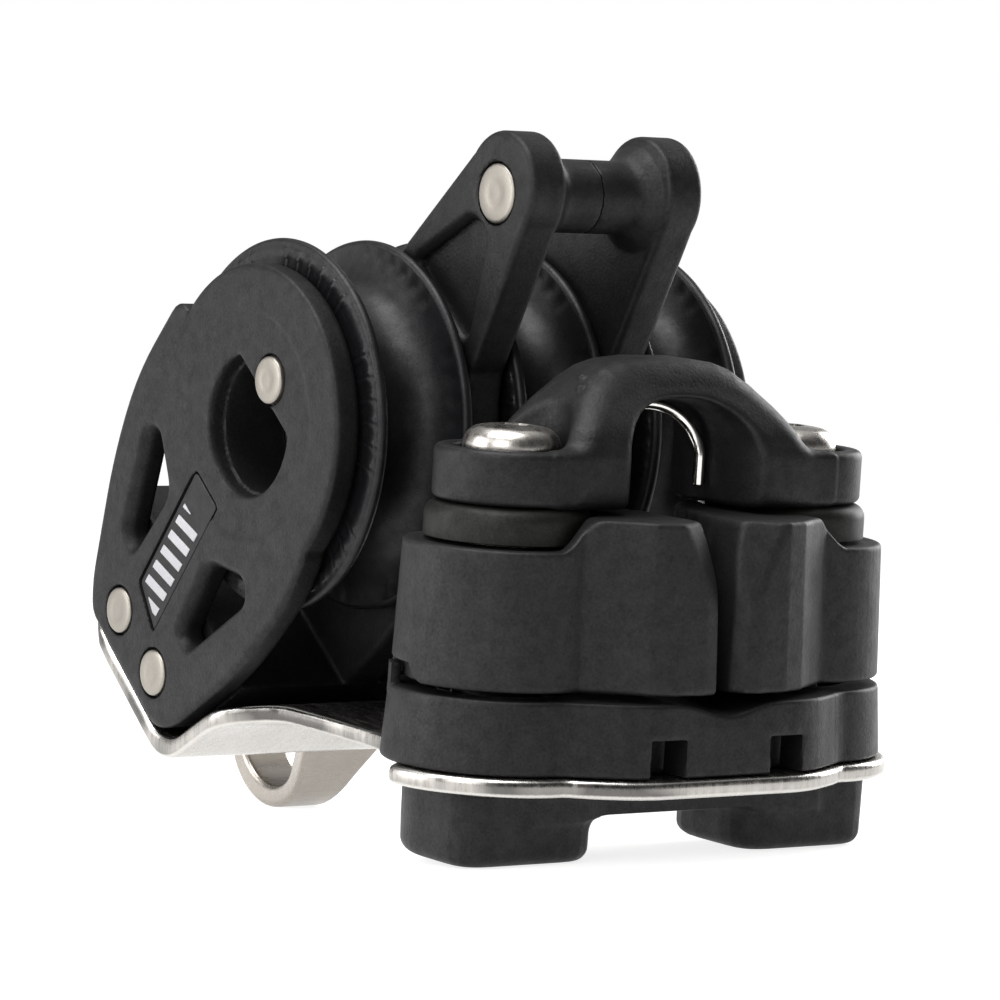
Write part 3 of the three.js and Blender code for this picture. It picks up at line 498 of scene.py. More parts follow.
def cheek(x, v, u):
    """The cheek on the +x side."""
    radius = np.hypot(v, u)
    outline = smooth_min(radius - CHEEK_R, polygon(v, u, TAIL), 0.5)
    body = prism(outline, x, CHEEK_IN, CHEEK_OUT, 0.95)
    dish = 0.3 * smoothstep((13.4 - radius) / 1.0) + 0.1 * np.maximum(outline + 2.6, 0)
    body = smooth_max(body, x - CHEEK_OUT + dish, 0.5)
    sleeve = np.maximum(radius - HUB_R, slab(x, PITCH + FIT / 2, CHEEK_IN + 1))
    body = np.minimum(body, sleeve)
    near_face = smoothstep((x - (CHEEK_OUT - 1.6)) / 1.6)
    mouth = np.maximum(bore(v, u, BORE_MOUTH_R) - 0.3 * near_face ** 2, CHEEK_OUT - BORE_MOUTH_DEEP - x)
    body = cut(cut(body, bore(v, u), 0.2), mouth, 0.2)
    near_face = smoothstep((x - (CHEEK_OUT - 2.4)) / 2.4)
    for side in (1, -1):
        window = polygon((v - WINDOW_SHIFT) * side, u, rounded(WINDOW))
        body = cut(body, window - 0.7 * near_face ** 2, 0.6)
        dent = (v - side * 11.5) ** 2 / 7 + (u + 6.8) ** 2 / 1.8
        body = body + 0.28 * np.exp(-dent) * near_face
    recess = np.maximum(polygon(v, u, LABEL), CHEEK_OUT - LABEL_DEEP - x)
    body = cut(body, recess, 0.15)
    body = cut(body, rivet_holes(v, u), 0.15)
    seats = np.maximum(rivet_holes(v, u) - 0.5, CHEEK_OUT - RIVET_SEAT - x)
    return cut(body, seats, 0.25)


BECKET_ARM = both_sides([[BECKET_END_R, BECKET_END_U, 0], [9.9, 17.2, 0], [13.6, 11.0, 0], [13.6, 0, 0]])


def becket_arm(v, u):
    return np.minimum(polygon(v, u, BECKET_ARM), np.hypot(v, u - BECKET_END_U) - BECKET_END_R)


POCKET = rounded([[-1.8, 30.2], [1.8, 30.2], [6.8, 18.9], [-6.8, 18.9]], 1.6)


def inner_plate(x, v, u):
    """The inner plate on the +x side, with its sleeves, becket arm, half spool and head block."""
    tail = polygon(v, u, TAIL)
    outline = smooth_min(np.minimum(np.hypot(v, u) - CHEEK_R, tail), becket_arm(v, u), 1.2)
    body = prism(outline, x, PLATE_IN, PLATE_OUT, 0.8)
    pocket = polygon(v, u, POCKET) - 0.5 * smoothstep((x - (PLATE_OUT - 0.9)) / 0.9)
    body = cut(body, np.maximum(pocket, PLATE_OUT - 1.4 - x), 0.5)
    head = np.maximum(np.maximum(tail, u - HEAD_BLOCK_U), slab(x, EYE_NECK + 1.4, CHEEK_IN - FIT))
    body = smooth_min(body, head, 0.5)
    flare = 1.9 * smoothstep((x - 3.6) / 3.6) ** 2
    spool = np.maximum(np.hypot(v, u - BECKET_U) - SPOOL_R - flare, slab(x, FIT / 2, PLATE_IN + 0.5))
    body = smooth_min(body, spool, 0.35)
    sleeve = np.maximum(np.hypot(v, u) - HUB_R, slab(x, FIT / 2, PITCH - FIT / 2))
    body = np.minimum(body, sleeve)
    body = cut(body, bore(v, u), 0.3)
    body = cut(body, rivet_holes(v, u), 0.15)
    body = cut(body, np.hypot(v, u - BECKET_U) - 2.75, 0.15)
    seat = np.maximum(np.hypot(v, u - BECKET_U) - 3.55, PLATE_OUT - RIVET_SEAT - x)
    return cut(body, seat, 0.2)


def sheave_profile():
    half, hub_half = SHEAVE_HALF, SHEAVE_HALF + 0.2
    inner = HUB_R + RUN
    rim_in = half - 1.35
    points = [[inner, -hub_half + 0.3], [inner + 0.3, -hub_half], [13.2, -hub_half], [13.6, -half],
              [15.0, -half], [15.15, -half - 0.12], [15.5, -half - 0.12], [15.65, -half]]
    points += [[18.75, -half], [18.85, -half - 0.05], [19.95, -half - 0.05], [20.05, -half]]
    for step in range(9):
        angle = math.pi * step / 8
        points.append([SHEAVE_R - 0.55 + 0.55 * math.sin(angle), -half + 0.62 - 0.62 * math.cos(angle)])
    steps = 30
    for step in range(steps + 1):
        angle = math.pi * step / steps
        depth = SHEAVE_R - 0.55 - 14.9
        points.append([SHEAVE_R - 0.55 - depth * math.sin(angle) ** 0.85, -rim_in * math.cos(angle)])
    return points + [[r, -h] for r, h in points[:21]][::-1]


def rivet(shank_r, head_r, face_x):
    top, under = face_x + 0.18, face_x - 1.1
    half = [[shank_r, under], [head_r - 0.1, under], [head_r, under + 0.1], [head_r, top - 0.45]]
    for step in range(1, 5):
        angle = math.pi / 2 * step / 4
        half.append([head_r - 0.4 + 0.4 * math.cos(angle), top - 0.45 + 0.32 * math.sin(angle)])
    half += [[head_r * 0.5, top - 0.03], [head_r * 0.47, top - 0.05], [head_r * 0.2, top - 0.02]]
    return spun([[0, -top]] + [[r, -h] for r, h in half[::-1]] + half + [[0, top]], "X", 96)


def head_eye(x, v, u):
    top = HEAD_RIVET_U + RIVET_R + 0.5
    outer = EYE_IN + EYE_THICK

    def loop(half, end, bottom):
        sides = np.maximum(np.abs(v) - half, np.maximum(u - end, EYE_ARC_U - u))
        past_side = np.maximum(np.abs(v) - half + EYE_CORNER_R, 0)
        past_end = np.maximum(u - end + EYE_CORNER_R, 0)
        corner = np.hypot(past_side, past_end) - EYE_CORNER_R
        sides = np.maximum(sides, np.where(u > EYE_ARC_U, corner, sides))
        return np.minimum(sides, (np.hypot(v / half, (u - EYE_ARC_U) / bottom) - 1) * bottom)

    shoulder = HEAD_END - ARM_THICK - 2 * FIT - 0.15
    inner = EYE_IN - 0.6 * smoothstep((shoulder - u) / 2.5)
    ring = np.maximum(loop(outer, top + EYE_THICK, outer), -loop(inner, top, outer - EYE_BOTTOM_THICK))
    half_w = EYE_NECK + EYE_FLARE * smoothstep((u - EYE_FLARE_U) / EYE_FLARE_LONG) ** 2.2
    strap = prism(ring, x, -half_w, half_w, 0.65)
    neck = np.maximum(EYE_NECK - np.abs(x), shoulder - u)
    return cut(strap, neck, 0.4)


def label_plate(x, v, u):
    return prism(polygon(v, u, LABEL) + 0.25, x, CHEEK_OUT - 0.75, CHEEK_OUT - 0.35, 0.12)


def label_bars(x, v, u):
    """Plain slanted bars where the maker would print."""
    plate = np.maximum(polygon(v, u, LABEL) + 1.0, slab(x, CHEEK_OUT - 0.4, CHEEK_OUT - 0.25))
    phase = (u + 30.2 + 0.25 * v) % 2.4
    bars = np.abs(phase - 1.2) - 0.6
    return np.maximum(np.maximum(plate, bars), u + 15.5)


def build_block():
    cheek_mesh = surface(cheek, (18.8, -19.4, HEAD_END), (29.3, 21.6, 18.2), 0.27)
    plate_mesh = surface(inner_plate, (0, -19.4, HEAD_END), (25.6, 21.6, 42.1), 0.3)
    label_mesh = surface(label_plate, (28.4, -2.1, -31.3), (29.0, 4.5, -10.9), 0.16)
    bars_mesh = surface(label_bars, (28.7, -2.1, -31.3), (29.1, 4.5, -15), 0.11)
    for word, turn in (("right", as_is), ("left", mirrored)):
        add_piece(f"{word}_cheek_shell", *turn(*cheek_mesh), BLOCK, "frame", "body_nylon",
                  [f"{word}_cheek"], BODY, 0.45)
        add_piece(f"{word}_inner_plate_shell", *turn(*plate_mesh), BLOCK, "frame", "body_nylon",
                  [f"{word}_inner_plate"], BODY, 0.4)
        add_piece(f"{word}_label_face", *turn(*label_mesh), BLOCK, "frame", "label_plate",
                  [f"{word}_label"], LABEL_BASE, 0.4)
        add_piece(f"{word}_label_bars", *turn(*bars_mesh), BLOCK, "frame", "label_plate", [],
                  LABEL_MARK, 0.5)
    for word, at in (("left", -PITCH), ("middle", 0), ("right", PITCH)):
        points, faces = spun(sheave_profile(), "X", SHEAVE_SIDES)
        radius, angle = np.hypot(points[:, 1], points[:, 2]), np.arctan2(points[:, 2], points[:, 1])
        raised = (np.abs(radius - TICK_R) < TICK_HALF) & (np.round(angle / math.tau * SHEAVE_SIDES) % 6 < 3)
        raised &= np.sin(angle * 6 + 0.4) > -0.75
        points[raised, 0] += TICK_HIGH * np.sign(points[raised, 0])
        add_piece(f"sheave_{word}_wheel", points + [at, 0, 0], faces, BLOCK, f"sheave_{word}",
                  "sheave_nylon", [f"sheave_{word}"], SHEAVE, flat_below=50)
    points, faces = rivet(RIVET_R, RIVET_HEAD_R, CHEEK_OUT)
    for name, v, u in (("hub_rivet", 0, HUB_RIVET_U), ("head_rivet_rear", HEAD_RIVET_V, HEAD_RIVET_U),
                       ("head_rivet_front", -HEAD_RIVET_V, HEAD_RIVET_U)):
        add_piece(f"{name}_pin", points + [0, v, u], faces, BLOCK, "frame", "polished_steel", [name],
                  RIVET_STEEL)
    points, faces = rivet(BECKET_RIVET_R, BECKET_RIVET_HEAD_R, PLATE_OUT)
    add_piece("becket_rivet_pin", points + [0, 0, BECKET_U], faces, BLOCK, "frame", "polished_steel",
              ["becket_rivet"], RIVET_STEEL)
    add_piece("head_eye_strap", *surface(head_eye, (-6.0, -9.5, -60.2), (6.0, 9.5, -29.9), 0.22), BLOCK,
              "frame", "satin_steel", ["head_eye"], EYE_STEEL, 0.5)


# ---------------------------------------------------------------- steel arm


def arm_profile():
    """Top and under face of the bent sheet as one outline in y and z of the cleat frame."""
    to_cleat = CLEAT.inverted() @ BLOCK

    def on_head(v):
        point = to_cleat @ Vector((0, v, HEAD_END - FIT))
        return Vector((point.y, point.z))

    corners = [Vector((FRONT_Y - 3, 0)), Vector((ARM_RISE_Y, 0)), Vector((ARM_CREST_Y, ARM_CREST_Z)),
               on_head(-12.1), on_head(13)]
    bends = [0, 1.5, 5.5, 4.2, 0]

    def face(offset):
        moved = []
        for i, corner in enumerate(corners):
            arrive = (corner - corners[i - 1]).normalized() if i else None
            leave = (corners[i + 1] - corner).normalized() if i < len(corners) - 1 else arrive
            arrive = arrive or leave
            normal = Vector((-arrive.y - leave.y, arrive.x + leave.x)).normalized()
            stretch = 1 / math.cos(arrive.angle(leave) / 2)
            moved.append(corner - normal * offset * stretch)
        curve = []
        for i, corner in enumerate(moved):
            if bends[i] == 0:
                curve.append(tuple(corner))
                continue
            start = corner + (moved[i - 1] - corner).normalized() * bends[i]
            end = corner + (moved[i + 1] - corner).normalized() * bends[i]
            for step in range(11):
                t = step / 10
                curve.append(tuple(start * (1 - t) ** 2 + corner * 2 * t * (1 - t) + end * t * t))
        return curve

    return face(0) + face(ARM_THICK)[::-1]


def cleat_plan(x, y, front_y, lobe_r, back_y, blend=1.5):
    lobes = np.hypot(np.abs(x) - POST_X, y) - lobe_r
    bulge = polygon(x, y, rounded([[-POST_X - lobe_r * 0.05, -lobe_r + 0.1, 3], [-11.4, front_y + 0.4, 3.5],
                                   [11.4, front_y + 0.4, 3.5], [POST_X + lobe_r * 0.05, -lobe_r + 0.1, 3],
                                   [POST_X, back_y, 0.5], [-POST_X, back_y, 0.5]]))
    return smooth_min(lobes, bulge, blend)


WAIST = rounded(both_sides([[ARM_WAIST, 8, 0.5], [ARM_WAIST + 0.3, 24, 8], [23.4, 36.2, 4],
                            [ARM_HEAD_HALF_W, 39.6, 4], [ARM_HEAD_HALF_W, 70.4, 5.5]]))
ARM_SIDE = arm_profile()
TO_BLOCK = np.array(BLOCK.inverted() @ CLEAT)


def cleat_arm(x, y, z):
    plan = smooth_min(cleat_plan(x, y, FRONT_Y, LOBE_R, 10, 0.8), polygon(x, y, WAIST), 1.5)
    v = TO_BLOCK[1, 1] * y + TO_BLOCK[1, 2] * z + TO_BLOCK[1, 3]
    plan = smooth_max(plan, -polygon(np.abs(x), y, LOBE_TRIM), 1.0)
    plan = np.maximum(plan, v - 11.2)
    sheet = smooth_max(polygon(y, z, ARM_SIDE), plan, 0.8)
    sheet = cut(sheet, np.hypot(np.abs(x) - POST_X, y) - SCREW_R - 0.3, 0.2)
    off_head = np.where(y > ARM_HEAD_Y, 0, 10)
    slot = np.maximum(np.abs(np.abs(v) - EYE_IN - EYE_THICK / 2) - EYE_THICK / 2 - FIT,
                      np.abs(x) - EYE_NECK - FIT)
    return cut(sheet, slot + off_head, 0.2)


# ---------------------------------------------------------------- cleat


def hexagon(x, y, flats):
    sides = [np.abs(x * math.cos(t) + y * math.sin(t)) for t in (0, math.pi / 3, 2 * math.pi / 3)]
    return np.maximum.reduce(sides) - flats / 2


FOOT_PLAN = rounded([[FOOT_INNER_X, -FOOT_HALF_D, 4.5], [POST_X + FOOT_R, -FOOT_HALF_D, 4.5],
                     [POST_X + FOOT_R, 3.3, 5], [POST_X + 6.2, FOOT_HALF_D, 5],
                     [FOOT_INNER_X, FOOT_HALF_D, 7]])


def foot_block(x, y, z):
    top = -ARM_THICK - FIT
    side = np.abs(x)
    plan = polygon(side, y, FOOT_PLAN) + 0.02 * np.maximum(-z - 2, 0)
    foot = prism(plan, z, FOOT_Z, top + 4, 1.5)
    foot = np.maximum(foot, z - top)
    slab_part = np.maximum(np.maximum(side - POST_X, np.abs(y) - FOOT_HALF_D), slab(z, FOOT_SLAB_Z, top))
    body = smooth_min(foot, slab_part, 2.2)
    body = np.maximum(body, z - top)
    hole = np.hypot(side - POST_X, y) - SCREW_R - 0.3
    pocket = np.maximum(hexagon(side - POST_X, y, NUT_FLATS + 0.5), z - NUT_POCKET_TOP)
    return cut(body, np.minimum(hole, pocket), 0.3)


def ring_part(x, y, inner, outer, start, end):
    """Part of a ring between two angles in degrees, as on the -x side of the cleat."""
    radius, angle = np.hypot(x, y), np.degrees(np.arctan2(y, x)) % 360
    beyond = np.maximum(start - angle, angle - end)
    return np.maximum(slab(radius, inner, outer), np.radians(beyond) * radius)


def cleat_base(x, y, z):
    draft = 1 - 0.022 * np.maximum(z, 0) / BASE_H
    plan = cleat_plan(x / draft, y / draft, BASE_FRONT_Y, BASE_R, 11.6)
    body = prism(plan, z, FIT, BASE_H, 0.45)
    dip = z - (BASE_H - 1.5 * np.exp(-(x / 4.2) ** 2))
    body = smooth_max(body, dip, 0.5)
    side = np.hypot(np.abs(x) - POST_X, y)
    stop = ring_part(POST_X - np.abs(x), y, STOP_IN, STOP_OUT, STOP_START, STOP_END)
    stop = np.maximum(stop, slab(z, BASE_H - 1, STOP_TOP))
    body = smooth_min(body, stop, 0.3)
    pocket = np.maximum(np.maximum(side - 7.8, BUSH_R - side), 3.2 - z)
    body = cut(body, pocket, 0.3)
    notch = np.maximum(np.maximum(np.abs(np.abs(x) - 8) - 2.3, z - 4.3), y + 12.5)
    body = cut(body, notch, 0.12)
    return cut(body, side - SCREW_R - 0.3, 0.2)


def cam_outline():
    """Plan of the cam on the -x side, with its post at the origin: back, nose, teeth, hub."""
    away = math.radians(-78)
    start = (CAM_HUB_R * math.cos(away), CAM_HUB_R * math.sin(away))
    points = [start, (4.2, -12.4), (6.2, -13.7), (8.6, -15.4), (11.5, -16.3), (15.2, -16.6),
              (17.0, -16.2), (18.2, -14.6), (18.6, -12.4)]
    teeth = 9
    grip = [Vector((18.6, -10.6)), Vector((18.2, -3.5)), Vector((15.0, 4.5)), Vector((8.2, 8.62))]

    def on_grip(t):
        s = 1 - t
        return (grip[0] * s ** 3 + grip[1] * 3 * s * s * t + grip[2] * 3 * s * t * t + grip[3] * t ** 3)

    for i in range(teeth):
        tip, root = on_grip(i / teeth), on_grip((i + 0.75) / teeth)
        points += [(tip.x, tip.y), (root.x - 0.75, root.y)]
    last = on_grip(1)
    points.append((last.x, last.y))
    first, full = math.atan2(last.y, last.x), away + 2 * math.pi
    for step in range(1, 40):
        angle = first + (full - first) * step / 40
        points.append((CAM_HUB_R * math.cos(angle), CAM_HUB_R * math.sin(angle)))
    return points


CAM_PLAN = cam_outline()


def cam(x, y, z):
    plan = polygon(x, y, CAM_PLAN) + 0.035 * (z - CAM_Z0)
    body = prism(plan, z, CAM_Z0, CAM_TOP, 0.55)
    rise = CAM_SHELF + (CAM_TOP - CAM_SHELF) * smoothstep((x + 0.6) / 5.4)
    body = smooth_max(body, (z - rise) * 0.85, 0.5)
    seat = np.maximum(np.hypot(x, y) - CAP_R - RUN - 0.2, CAM_SHELF - z)
    body = cut(body, seat, 0.25)
    nose = x - (18.5 - 2.4 * np.maximum((z - 14) / (CAM_TOP - 14), 0) ** 2)
    body = smooth_max(body, nose, 0.8)
    corner = (0.55 * (x - 18.4) - 0.83 * (y + 16.6) + 0.32 * (z - 14)) / 1.046
    body = smooth_max(body, corner, 0.5)
    body = cut(body, np.hypot(x, y) - BUSH_R - RUN, 0.25)
    notch_end = NOTCH_END - NOTCH_SLANT * np.clip(z - CAM_Z0, 0, NOTCH_DEEP)
    notch = ring_part(x, y, STOP_IN - 0.4, CAM_HUB_R + 2, NOTCH_START, notch_end)
    notch = np.maximum(notch, z - CAM_Z0 - NOTCH_DEEP)
    return cut(body, notch, 0.3)


ARCH = [(16.6, 33.6), (15.0, 36.4), (13.0, 38.9), (10.8, 41.1), (8.6, 42.6), (6.4, 43.3), (3.0, 43.7)]
EYE_HALF, EYE_TOP, EYE_KNEE = 7.35, 39.3, 33.1
WIRE_LEAN = 1.6
EYE_SQUARE = 2.5  # power of the eye's rounded top: 2 is an ellipse, more is squarer


def eye_opening(x, z):
    straight = np.maximum(np.abs(x) - EYE_HALF, z - EYE_KNEE)
    rise = np.maximum(z - EYE_KNEE, 0) / (EYE_TOP - EYE_KNEE)
    dome = (np.abs(x / EYE_HALF) ** EYE_SQUARE + rise ** EYE_SQUARE) ** (1 / EYE_SQUARE)
    return np.minimum(straight, (dome - 1) * 6.6)


def fairlead(x, y, z):
    side = np.abs(x)
    outline = [(-a, b) for a, b in ARCH] + [(0, ARCH_TOP)] + ARCH[::-1] + [(16.6, EAR_Z0), (-16.6, EAR_Z0)]
    reach = EAR_R - 0.1 - np.where(y > 0, 2.9, 5.0) * smoothstep((z - 34) / 9.8)
    arch = polygon(x, z, outline)
    a, b = arch + 2.4, (np.abs(y) - reach) + 2.4
    arch = np.minimum(np.maximum(a, b), 0) + np.hypot(np.maximum(a, 0), np.maximum(b, 0)) - 2.4
    arch = np.maximum(arch, EAR_Z0 - z)
    ears = prism(np.hypot(side - POST_X, y) - EAR_R, z, EAR_Z0, EAR_Z1, 0.8)
    bar = prism(np.maximum(side - POST_X, np.abs(y) - EAR_R + 0.1), z, EAR_Z0, EAR_Z1, 0.8)
    body = smooth_min(smooth_min(arch, bar, 1.6), ears, 0.8)
    mouth = 1.2 * np.clip(np.abs(y) / 7.5, 0, 1.15) ** 2.6
    body = cut(body, eye_opening(x, z) - mouth, 0.9)
    seat = np.maximum(np.hypot(side - POST_X, y) - SCREW_HEAD_R - 0.9, SEAT_Z - z)
    body = cut(body, seat, 0.5)
    body = cut(body, np.hypot(side - POST_X, y) - SCREW_R - 0.3, 0.2)
    pimples = [np.sqrt((x - px) ** 2 + (y - py) ** 2 + (z - pz) ** 2) - 0.45
               for px, py, pz in ((-11.5, -1.6, 40.35), (-10.3, -0.2, 41.4))]
    return smooth_min(body, np.minimum.reduce(pimples), 0.2)


def screw(x, y, z):
    z0 = SEAT_Z + FIT
    radius = np.hypot(x, y)
    turn = (z / 0.8 - np.arctan2(y, x) / (2 * math.pi)) % 1.0
    thread = 0.26 * np.abs(2 * turn - 1) * smoothstep((9 - z) / 1.5)
    shank = np.maximum((radius - SCREW_R + thread) * 0.8, slab(z, SCREW_END, z0 + 1))
    top = z0 + SCREW_HEAD_H - 0.025 * radius ** 2
    head = prism(radius - SCREW_HEAD_R, z + z0 + SCREW_HEAD_H - top, z0 - 4, z0 + SCREW_HEAD_H, 1.7)
    head = smooth_max(head, z0 - z, 0.3)
    body = np.minimum(shank, head)
    socket = np.maximum(hexagon(x, y, 3.0), z0 + 2.3 - z)
    return cut(body, socket, 0.15)


def nut(x, y, z):
    z0, z1 = FOOT_Z + 0.3, NUT_POCKET_TOP - FIT
    body = prism(hexagon(x, y, NUT_FLATS), z, z0, z1, 0.15)
    radius = np.hypot(x, y)
    chamfer = radius - NUT_FLATS / 2 - 0.45 + 0.9 * np.maximum(np.abs(z - (z0 + z1) / 2) - 2.0, 0)
    return cut(np.maximum(body, chamfer), radius - SCREW_R - 0.2, 0.15)


def cap_profile():
    z0 = CAM_SHELF + RUN
    inner = SCREW_R + 0.3
    points = [[inner, z0], [CAP_R - 0.1, z0], [CAP_R, z0 + 0.1]]
    for step in range(9):
        angle = math.pi / 2 * step / 8
        points.append([CAP_R - 1.5 + 1.5 * math.cos(angle), CAP_TOP - 1.5 + 1.5 * math.sin(angle)])
    return points + [[inner, CAP_TOP]]


def bush_profile():
    z0, z1, inner = BASE_H + FIT, CAM_SHELF + FIT, SCREW_R + 0.3
    return [[inner, z0], [BUSH_R - 0.3, z0], [BUSH_R, z0 + 0.3], [BUSH_R, z1 - 0.3], [BUSH_R - 0.3, z1],
            [inner, z1]]


def swept(path, radius, sides=12):
    """A round wire along path, with domed ends."""
    path = np.array(path, float)
    ahead = np.gradient(path, axis=0)
    ahead /= np.linalg.norm(ahead, axis=1)[:, None]
    side = np.cross(ahead[0], [0.3, 0.9, 0.2])
    points, faces = [path[0] - ahead[0] * radius * 0.6], []
    for centre, direction in zip(path, ahead):
        side = side - direction * side.dot(direction)
        side /= np.linalg.norm(side)
        other = np.cross(direction, side)
        for s in range(sides):
            t = 2 * math.pi * s / sides
            points.append(centre + radius * (side * math.cos(t) + other * math.sin(t)))
    points.append(path[-1] + ahead[-1] * radius * 0.6)
    last = len(points) - 1
    for i in range(len(path) - 1):
        for s in range(sides):
            a, b = 1 + i * sides + s, 1 + i * sides + (s + 1) % sides
            faces.append((a, b, b + sides, a + sides))
    for s in range(sides):
        t = (s + 1) % sides
        faces.append((0, 1 + t, 1 + s))
        faces.append((last, last - sides + s, last - sides + t))
    return np.array(points), faces


def spring_path():
    turns, radius, z0, z1 = 2.5, 6.3, 4.0, 7.6
    count = 100
    return [(radius * math.cos(a), radius * math.sin(a), z0 + (z1 - z0) * i / count)
            for i in range(count + 1) for a in [2 * math.pi * turns * i / count]]


def wire_path():
    half, top, foot = EYE_HALF - 0.8, EYE_TOP - 0.8, EAR_Z0 + 1.6
    leg = [(half, 0, foot + (EYE_KNEE - foot) * i / 8) for i in range(8)]
    bend = []
    for step in range(49):
        over, up = math.cos(math.pi * step / 48), math.sin(math.pi * step / 48)
        bend.append((half * over, WIRE_LEAN * up, EYE_KNEE + (top - EYE_KNEE) * up))
    return leg + bend + [(-x, y, z) for x, y, z in leg[::-1]]


def build_cleat():
    arm_mesh = surface(cleat_arm, (-32.2, -17.8, -9.5), (32.2, 71, 10), 0.3)
    add_piece("cleat_arm_sheet", *arm_mesh, CLEAT, "frame", "satin_steel", ["cleat_arm"], ARM_STEEL, 0.35)
    foot_mesh = surface(foot_block, (-28.4, -8.3, FOOT_Z), (28.4, 8.3, -2), 0.3)
    add_piece("foot_block_moulding", *foot_mesh, CLEAT, "frame", "body_nylon", ["foot_block"], BODY, 0.45)
    base_mesh = surface(cleat_base, (-31.7, -17.4, 0), (31.7, 12.7, 10.4), 0.28)
    add_piece("cleat_base_moulding", *base_mesh, CLEAT, "frame", "body_nylon", ["cleat_base"], BODY, 0.45)
    fairlead_mesh = surface(fairlead, (-27.4, -8.4, 28), (27.4, 8.4, 44.2), 0.27)
    add_piece("fairlead_arch", *fairlead_mesh, CLEAT, "frame", "body_nylon", ["fairlead"], BODY, 0.45)
    add_piece("fairlead_wire_liner", *swept(wire_path(), 0.65, 16), CLEAT, "frame", "polished_steel",
              ["fairlead_wire"], WIRE_STEEL)
    cam_mesh = surface(cam, (-12.6, -17.2, CAM_Z0), (19.2, 12.6, CAM_TOP), 0.26)
    screw_mesh = surface(screw, (-5.4, -5.4, SCREW_END), (5.4, 5.4, 36.6), 0.17)
    nut_mesh = surface(nut, (-4.7, -4.7, FOOT_Z), (4.7, 4.7, -5), 0.2)
    spring_mesh = swept(spring_path(), 0.45)
    for word, side in (("left", -1), ("right", 1)):
        turn = as_is if side < 0 else mirrored
        at = CLEAT @ Matrix.Translation((side * POST_X, 0, 0))
        add_piece(f"cam_{word}_jaw", *turn(*cam_mesh), at, f"cam_{word}", "cam_nylon", [f"cam_{word}"], CAM,
                  0.45)
        add_piece(f"cam_spring_{word}_coil", *turn(*spring_mesh), at, "frame", "polished_steel",
                  [f"cam_spring_{word}"], WIRE_STEEL)
        add_piece(f"cam_bush_{word}_sleeve", *spun(bush_profile(), "Z", 64), at, "frame", "bush_acetal",
                  [f"cam_bush_{word}"], ACETAL)
        add_piece(f"cam_cap_{word}_disc", *spun(cap_profile(), "Z", 128), at, "frame", "cap_nylon",
                  [f"cam_cap_{word}"], CAP)
        add_piece(f"cleat_screw_{word}_bolt", *screw_mesh, at, "frame", "polished_steel",
                  [f"cleat_screw_{word}"], SCREW_STEEL, 0.5)
        add_piece(f"cleat_nut_{word}_hex", *nut_mesh, at, "frame", "polished_steel", [f"cleat_nut_{word}"],
                  RIVET_STEEL, 0.5)


# ---------------------------------------------------------------- floor, light and camera


def build_floor():
    material, tree, shader = new_material("pale_floor")
    tree.links.new(ramp(tree, noise(tree, 3, 2), [(0.3, grey(0.44)), (0.7, grey(0.46))]),
                   shader.inputs["Base Color"])
    shader.inputs["Roughness"].default_value = 0.9
    shader.inputs["Specular IOR Level"].default_value = 0.1
    shader.inputs["Emission Color"].default_value = (1, 1, 1, 1)
    shader.inputs["Emission Strength"].default_value = 0.8
    mesh = bpy.data.meshes.new("floor")
    half = 6.0
    mesh.from_pydata([(-half, -half, 0), (half, -half, 0), (half, half, 0), (-half, half, 0)], [],
                     [(0, 1, 2, 3)])
    mesh.materials.append(material)
    floor = bpy.data.objects.new("floor", mesh)
    bpy.context.scene.collection.objects.link(floor)


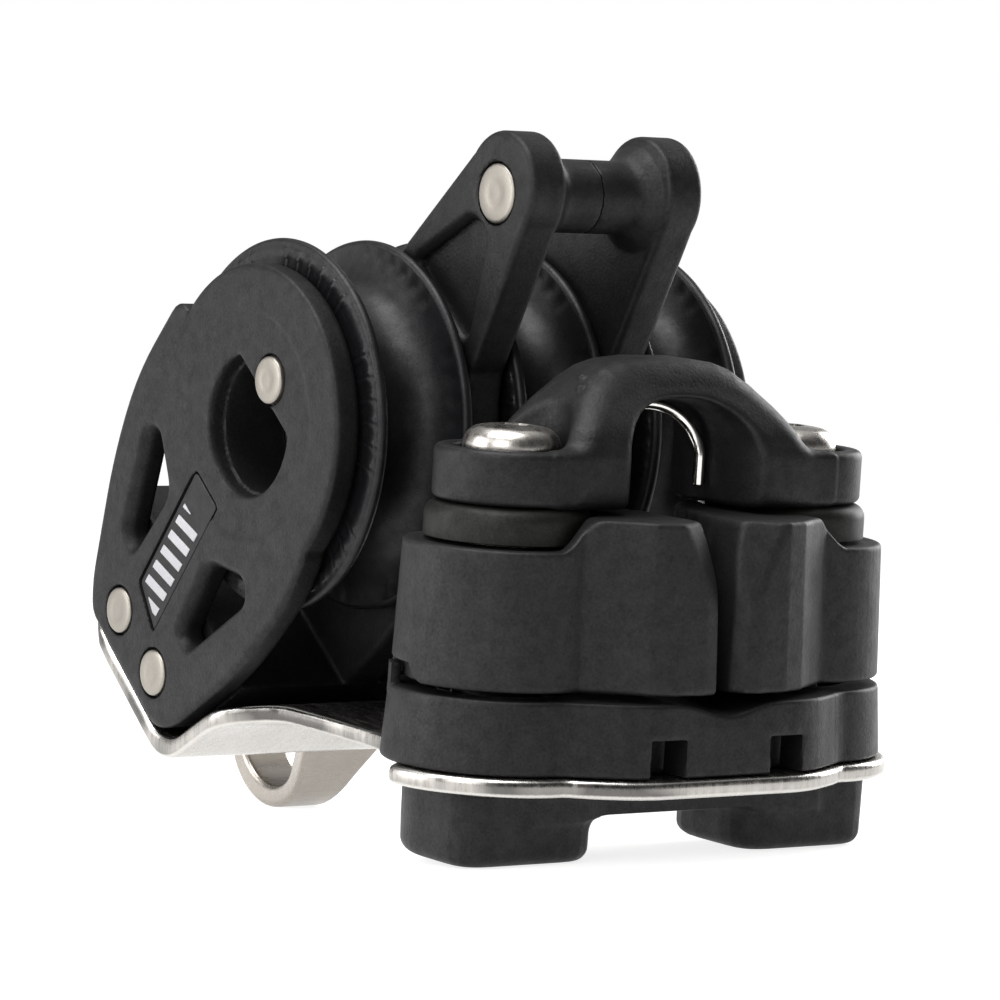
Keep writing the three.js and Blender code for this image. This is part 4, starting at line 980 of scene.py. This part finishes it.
def build_world():
    """White behind and beside the part; greyer half way up and in front, so that gloss shows form."""
    world = bpy.data.worlds.new("studio")
    world.use_nodes = True
    tree = world.node_tree
    place = node(tree, "ShaderNodeTexCoord")
    split = node(tree, "ShaderNodeSeparateXYZ")
    tree.links.new(place.outputs["Generated"], split.inputs["Vector"])
    height = ramp(tree, split.outputs["Z"], [(0.16, grey(1.0)), (0.27, grey(0.35)), (0.66, grey(0.3)),
                                             (0.84, grey(0.8))])
    facing = node(tree, "ShaderNodeVectorMath", operation="DOT_PRODUCT")
    facing.inputs[1].default_value = (0.5, -0.87, 0)
    tree.links.new(place.outputs["Generated"], facing.inputs[0])
    sideways = ramp(tree, facing.outputs["Value"], [(0.15, grey(1)), (0.7, grey(0.2))])
    both = node(tree, "ShaderNodeMix", data_type="RGBA", blend_type="MULTIPLY")
    both.inputs[0].default_value = 1
    tree.links.new(height, both.inputs[6])
    tree.links.new(sideways, both.inputs[7])
    tree.links.new(both.outputs[2], tree.nodes["Background"].inputs["Color"])
    tree.nodes["Background"].inputs["Strength"].default_value = 1.0
    bpy.context.scene.world = world


def add_light(name, at, target, size, power):
    data = bpy.data.lights.new(name, "AREA")
    data.shape = "RECTANGLE"
    data.size, data.size_y = size
    data.energy = power
    light = bpy.data.objects.new(name, data)
    light.location = at
    light.rotation_euler = (Vector(target) - Vector(at)).to_track_quat("-Z", "Y").to_euler()
    bpy.context.scene.collection.objects.link(light)


def build_stage():
    build_floor()
    build_world()
    middle = (0, 0, 0.04)
    add_light("top_soft", (-0.15, -0.05, 0.65), middle, (0.5, 0.45), 5.0)
    add_light("left_rear", (-0.5, 0.22, 0.22), middle, (0.4, 0.5), 2.4)
    add_light("left_front", (-0.5, -0.3, 0.3), middle, (0.4, 0.4), 1.8)
    add_light("right_fill", (0.6, 0.1, 0.25), middle, (0.3, 0.4), 3.2)
    scene = bpy.context.scene
    scene.view_settings.view_transform = "Standard"
    data = bpy.data.cameras.new("camera")
    data.sensor_width = 36
    data.lens = 169.2
    camera = bpy.data.objects.new("camera", data)
    azimuth, elevation, roll = (math.radians(a) for a in (35.785, 1.3, 0.39))
    camera.location = (-0.3132, -0.4386, 0.0503)
    forward = Vector((math.sin(azimuth) * math.cos(elevation), math.cos(azimuth) * math.cos(elevation),
                      -math.sin(elevation)))
    turn = forward.to_track_quat("-Z", "Y").to_matrix() @ Matrix.Rotation(roll, 3, "Z")
    camera.rotation_euler = turn.to_euler()
    scene.collection.objects.link(camera)
    scene.camera = camera


build_stage()
build_block()
build_cleat()
